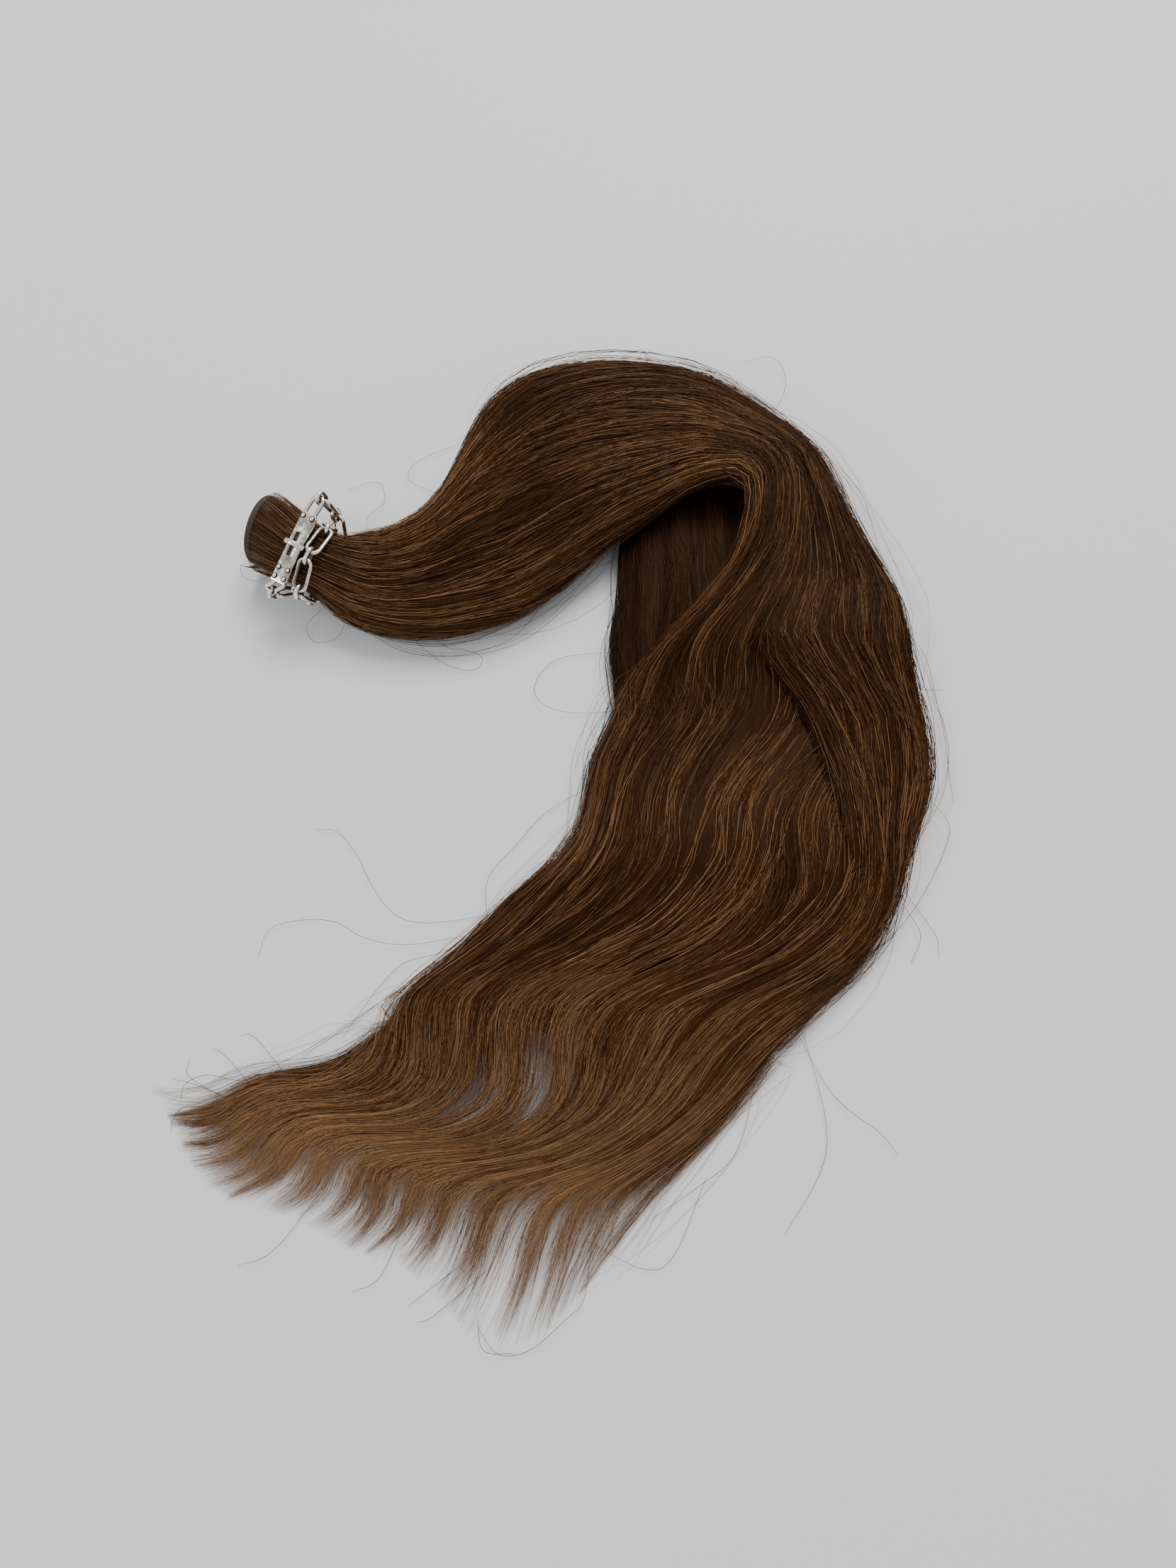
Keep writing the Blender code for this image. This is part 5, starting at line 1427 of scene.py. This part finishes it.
def swept(name, path, ups, half_width, half_height, sides=WIRE_SIDES, power=1.0):
    """A closed solid along a path, with a rounded outline."""
    points = np.array(path)
    runs = np.gradient(points, axis=0)
    runs /= np.linalg.norm(runs, axis=1)[:, None]
    corners = []
    wear_and_shade = []
    for place, run, up in zip(points, runs, ups):
        up = np.array(up) - run * np.dot(run, up)
        up /= np.linalg.norm(up)
        side = np.cross(run, up)
        for step in range(sides):
            angle = 2 * math.pi * (step + 0.5) / sides
            a = math.copysign(abs(math.cos(angle)) ** power, math.cos(angle)) * half_width
            b = math.copysign(abs(math.sin(angle)) ** power, math.sin(angle)) * half_height
            corners.append(place + side * a + up * b)
            # Partly wear, partly painted light and shade: lighter on the upper side, darker on the
            # lower.
            wear_and_shade.append(0.55 + 0.45 * math.sin(angle))
    faces = quads(len(points), sides, closed=True)
    faces.append(tuple(range(sides))[::-1])
    faces.append(tuple(range((len(points) - 1) * sides, len(points) * sides)))
    mesh = new_mesh(name, corners, faces)
    shape = bmesh.new()
    shape.from_mesh(mesh)
    bmesh.ops.recalc_face_normals(shape, faces=shape.faces)
    shape.to_mesh(mesh)
    shape.free()
    carry(mesh, "wear_and_shade", wear_and_shade)
    mesh.materials.append(silver)
    return mesh


def loop_path(start_x, level, reach, droop_deg, shift):
    """A U of wire from inside a bar's end. A negative start makes it leave the other end."""
    way = 1 if start_x > 0 else -1
    bend = (LOOP_WIDTH - CAD_WIRE) / 2
    droop = math.radians(droop_deg)
    leg = [-LOOP_ROOT, LOOP_STRAIGHT, reach - bend - CAD_WIRE / 2]
    points = [(distance, bend) for distance in leg]
    for step in range(1, BEND_STEPS):
        angle = math.pi * step / BEND_STEPS
        points.append((leg[-1] + bend * math.sin(angle), bend * math.cos(angle)))
    points += [(distance, -bend) for distance in reversed(leg)]
    path = []
    for distance, sideways in points:
        beyond = max(0.0, distance - LOOP_STRAIGHT)
        slide = shift * min(1.0, beyond / (reach / 2))
        x = start_x + way * (distance - beyond + beyond * math.cos(droop))
        path.append((x, sideways + slide, level - beyond * math.sin(droop)))
    return path


def in_one(name, meshes, node, body="bundle"):
    """One piece from meshes drawn in the clasp's frame."""
    whole = joined_meshes(name, meshes)
    whole.transform(to_neck)
    whole.materials.append(silver)
    whole.shade_smooth()
    whole.set_sharp_from_angle(angle=math.radians(SHARP_FROM_DEG))
    dressed(name, whole, "old_silver", node, body=body)


up_there = (0.0, 0.0, 1.0)
stirrup = loop_path(PLATE_LENGTH / 2, (PLATE_BOTTOM + PLATE_TOP) / 2, *STIRRUP)
front_loop = loop_path(-BASE_LENGTH / 2, (BASE_BOTTOM + BASE_TOP) / 2, *FRONT_LOOP)
stirrup_mesh = swept("stirrup", stirrup, [up_there] * len(stirrup), WIRE / 2, WIRE / 2)
front_mesh = swept("front_loop", front_loop, [up_there] * len(front_loop), WIRE / 2, WIRE / 2)
in_one("clasp_plate_silver", [plate_mesh, stirrup_mesh], "clasp_plate")
in_one("clasp_base_silver", [base_mesh, front_mesh], "clasp_base")

arch = []
for i in range(KNOB_STEPS + 1):
    share = 2 * i / KNOB_STEPS - 1
    height = PLATE_TOP + CLASP_GAP + KNOB_STRIP / 2 + KNOB_RISE * (1 - abs(share) ** KNOB_ARCH)
    arch.append((SLOT_SHIFT, share * (KNOB_LENGTH - KNOB_STRIP / 2) / 2, height))
arch_mesh = swept("arch", arch, [up_there] * len(arch), KNOB_WIDTH / 2, KNOB_STRIP / 2, 16, 0.7)
stem_top = PLATE_TOP + CLASP_GAP + KNOB_RISE + KNOB_STRIP / 2
stem = [(SLOT_SHIFT, 0.0, BASE_BOTTOM + share * (stem_top - BASE_BOTTOM))
        for share in (0.0, 0.5, 1.0)]
stem_mesh = swept("stem", stem, [(1.0, 0.0, 0.0)] * 3, KNOB_STEM, KNOB_STEM)
in_one("turn_knob_silver", [arch_mesh, stem_mesh], "turn_knob", body="lock")

# %% [markdown]
# ## Rivets
#
# Six domed rivets sit at the two ends of the plate. One dome with a dark collar is made in the
# tree and copied to the six places. Its shank goes down to the base, as a real rivet's does.

# %% Rivets
RIVET_HEAD = 0.82 * MM
RIVET_RISE = 0.6 * MM
RIVET_SHANK = 0.4 * MM
RIVET_SPREAD = 1.7 * MM
RIVET_ROWS = (PLATE_LENGTH / 2 - 1.4 * MM, 1.7 * MM - PLATE_LENGTH / 2, 4.9 * MM - PLATE_LENGTH / 2)

rivets = Tree("rivets", {"Head": "Float", "Rise": "Float", "Shank": "Float", "Depth": "Float",
                         "Finish": "Material"})
ball = rivets.node("GeometryNodeMeshUVSphere", {"Segments": 16, "Rings": 10, "Radius": 1.0})
size = rivets.vector(rivets.of("Head"), rivets.of("Head"), rivets.of("Rise"))
dome = rivets.node("GeometryNodeTransform", {"Geometry": ball, "Scale": size})
height = rivets.parts(rivets.node("GeometryNodeInputPosition", {}))[2]
height = rivets.math("DIVIDE", height, rivets.of("Rise"))
dome = rivets.store(dome, "wear_and_shade", rivets.sum(0.1, rivets.product(1.0, height)))
wider = rivets.product(rivets.of("Head"), 1.22)
collar = rivets.node("GeometryNodeMeshCylinder",
                     {"Vertices": 18, "Radius": wider, "Depth": 0.12 * MM})
collar = rivets.store(collar, "wear_and_shade", 0.1)
shank = rivets.node("GeometryNodeMeshCylinder", {"Vertices": 12, "Radius": rivets.of("Shank"),
                                                 "Depth": rivets.of("Depth")})
down = rivets.vector(0.0, 0.0, rivets.product(rivets.of("Depth"), -0.5))
shank = rivets.node("GeometryNodeTransform", {"Geometry": shank, "Translation": down})
shank = rivets.store(shank, "wear_and_shade", 0.3)
rivets.finish(set_on_places(rivets, joined(rivets, [dome, collar, shank]), 0), rivets.of("Finish"))

axes = to_neck.to_3x3()
rows = [(to_neck @ Vector((x, side * RIVET_SPREAD, PLATE_TOP + 0.02 * MM)),
         axes.col[0], axes.col[2], 0.0) for x in RIVET_ROWS for side in (-1, 1)]
heads = mesh_by(rivets, "rivet_heads", places_mesh("rivet_places", rows),
                {"Head": RIVET_HEAD, "Rise": RIVET_RISE, "Shank": RIVET_SHANK,
                 "Depth": PLATE_TOP - BASE_BOTTOM, "Finish": silver})
dressed("rivet_heads", heads, "old_silver", *[f"rivet_{number}" for number in range(1, 7)])

# %% [markdown]
# ## The track
#
# The hair is sewn into a narrow woven band, which is wound up with it. The band has a rounded
# outline and two rows of stitches. It ends in a thin pointed tail that sticks out of the roll.

# %% Track band
TRACK_HEIGHT = 2.2 * MM
TRACK_THICKNESS = 0.9 * MM
TRACK_PITCH = 1.6 * MM
TRACK_CORE = 2.0 * MM
TRACK_TAIL = 6.0 * MM
TRACK_END_DEG = 238.0
STEPS_A_TURN = 40
TRACK_SIDES = 12
STITCH_STEP = 0.95 * MM
STITCH_SIDE = 0.55 * MM
STITCH_LENGTH = 0.42 * MM
STITCH_WIDTH = 0.13 * MM
TAIL_STEPS = 5
TAIL_BEND = 0.75
DARK_CLOTH = (0.014, 0.009, 0.007)
CLOTH = (0.038, 0.027, 0.022)
PALE_THREAD = (0.09, 0.069, 0.056)


def cloth_finish():
    finish = Finish("track_cloth_woven", {"Roughness": 0.85, "Specular IOR Level": 0.25})
    weave = finish.noise(2600.0, 3.0)
    # The swept band is lighter on its outer side and darker on its inner side, partly painted light
    # and shade.
    tone = finish.sum(finish.product(finish.attribute("wear_and_shade"), 0.35), finish.product(weave, 0.6))
    colour = finish.ramp(tone, ((0.2, DARK_CLOTH), (0.55, CLOTH), (0.95, PALE_THREAD)))
    return finish.done(Base_Color=colour, Normal=finish.bump(weave, 0.5, 0.1 * MM))


cloth = cloth_finish()
drum_along, drum_across = directions(DRUM_TURN_DEG)
face_centre = table_point(*DRUM_PLACE, DRUM_RADIUS) - drum_along * (CLASP_GAP + TRACK_HEIGHT / 2)
outer_radius = DRUM_RADIUS - TRACK_THICKNESS / 2
turns = (outer_radius - TRACK_CORE) / TRACK_PITCH
count = round(turns * STEPS_A_TURN)
spiral = []
outwards = []
for i in range(count + 1):
    radius = TRACK_CORE + (outer_radius - TRACK_CORE) * i / count
    angle = math.radians(TRACK_END_DEG) - 2 * math.pi * turns * (1 - i / count)
    out = drum_across * math.sin(angle) + np.array((0.0, 0.0, 1.0)) * math.cos(angle)
    spiral.append(face_centre + out * radius)
    outwards.append(out)
band_mesh = swept("track_band", spiral, outwards, TRACK_HEIGHT / 2, TRACK_THICKNESS / 2,
                  TRACK_SIDES, 0.55)
ahead = spiral[-1] - spiral[-2]
ahead /= np.linalg.norm(ahead)
tail = [spiral[-1]]
for t in (0.2, 0.4, 0.6, 0.8, 1.0):
    bent = ahead * (1 - TAIL_BEND * t) - drum_along * TAIL_BEND * t
    tail.append(tail[-1] + bent / np.linalg.norm(bent) * TRACK_TAIL / TAIL_STEPS)
tail_rings = swept("track_tail", tail, [outwards[-1]] * len(tail), TRACK_HEIGHT / 2,
                   TRACK_THICKNESS / 2, TRACK_SIDES, 0.8)
for i, corner in enumerate(tail_rings.vertices):
    share = (i // TRACK_SIDES) / TAIL_STEPS
    centre = Vector(tail[i // TRACK_SIDES])
    corner.co = centre + (corner.co - centre) * (1 - 0.93 * share ** 0.8)
band = joined_meshes("track_band_woven", [band_mesh, tail_rings])
band.materials.append(cloth)
band.shade_smooth()
dressed("track_band_woven", band, "track_cloth", "weft_track")

stitches = Tree("stitches", {"Length": "Float", "Width": "Float", "Finish": "Material"})
grain = stitches.node("GeometryNodeMeshIcoSphere", {"Radius": 1.0, "Subdivisions": 1})
size = stitches.vector(stitches.of("Length"), stitches.of("Width"), stitches.of("Width"))
grain = stitches.node("GeometryNodeTransform", {"Geometry": grain, "Scale": size})
grain = stitches.store(grain, "wear_and_shade", 1.4)
stitches.finish(set_on_places(stitches, grain, 0), stitches.of("Finish"))
rows = []
travelled = 0.0
for i in range(count // 2, count):
    step = spiral[i + 1] - spiral[i]
    travelled += np.linalg.norm(step)
    if travelled > STITCH_STEP:
        travelled -= STITCH_STEP
        for side in (-STITCH_SIDE, STITCH_SIDE):
            slant = step / np.linalg.norm(step) + drum_along * 0.5 * np.sign(side)
            place = spiral[i] + outwards[i] * TRACK_THICKNESS * 0.47 + drum_along * side
            rows.append((place, slant, outwards[i], 0.0))
seam = mesh_by(stitches, "track_stitches", places_mesh("stitch_places", rows),
               {"Length": STITCH_LENGTH, "Width": STITCH_WIDTH, "Finish": cloth})
dressed("track_stitches", seam, "track_cloth")
print(len(rows), "stitches")
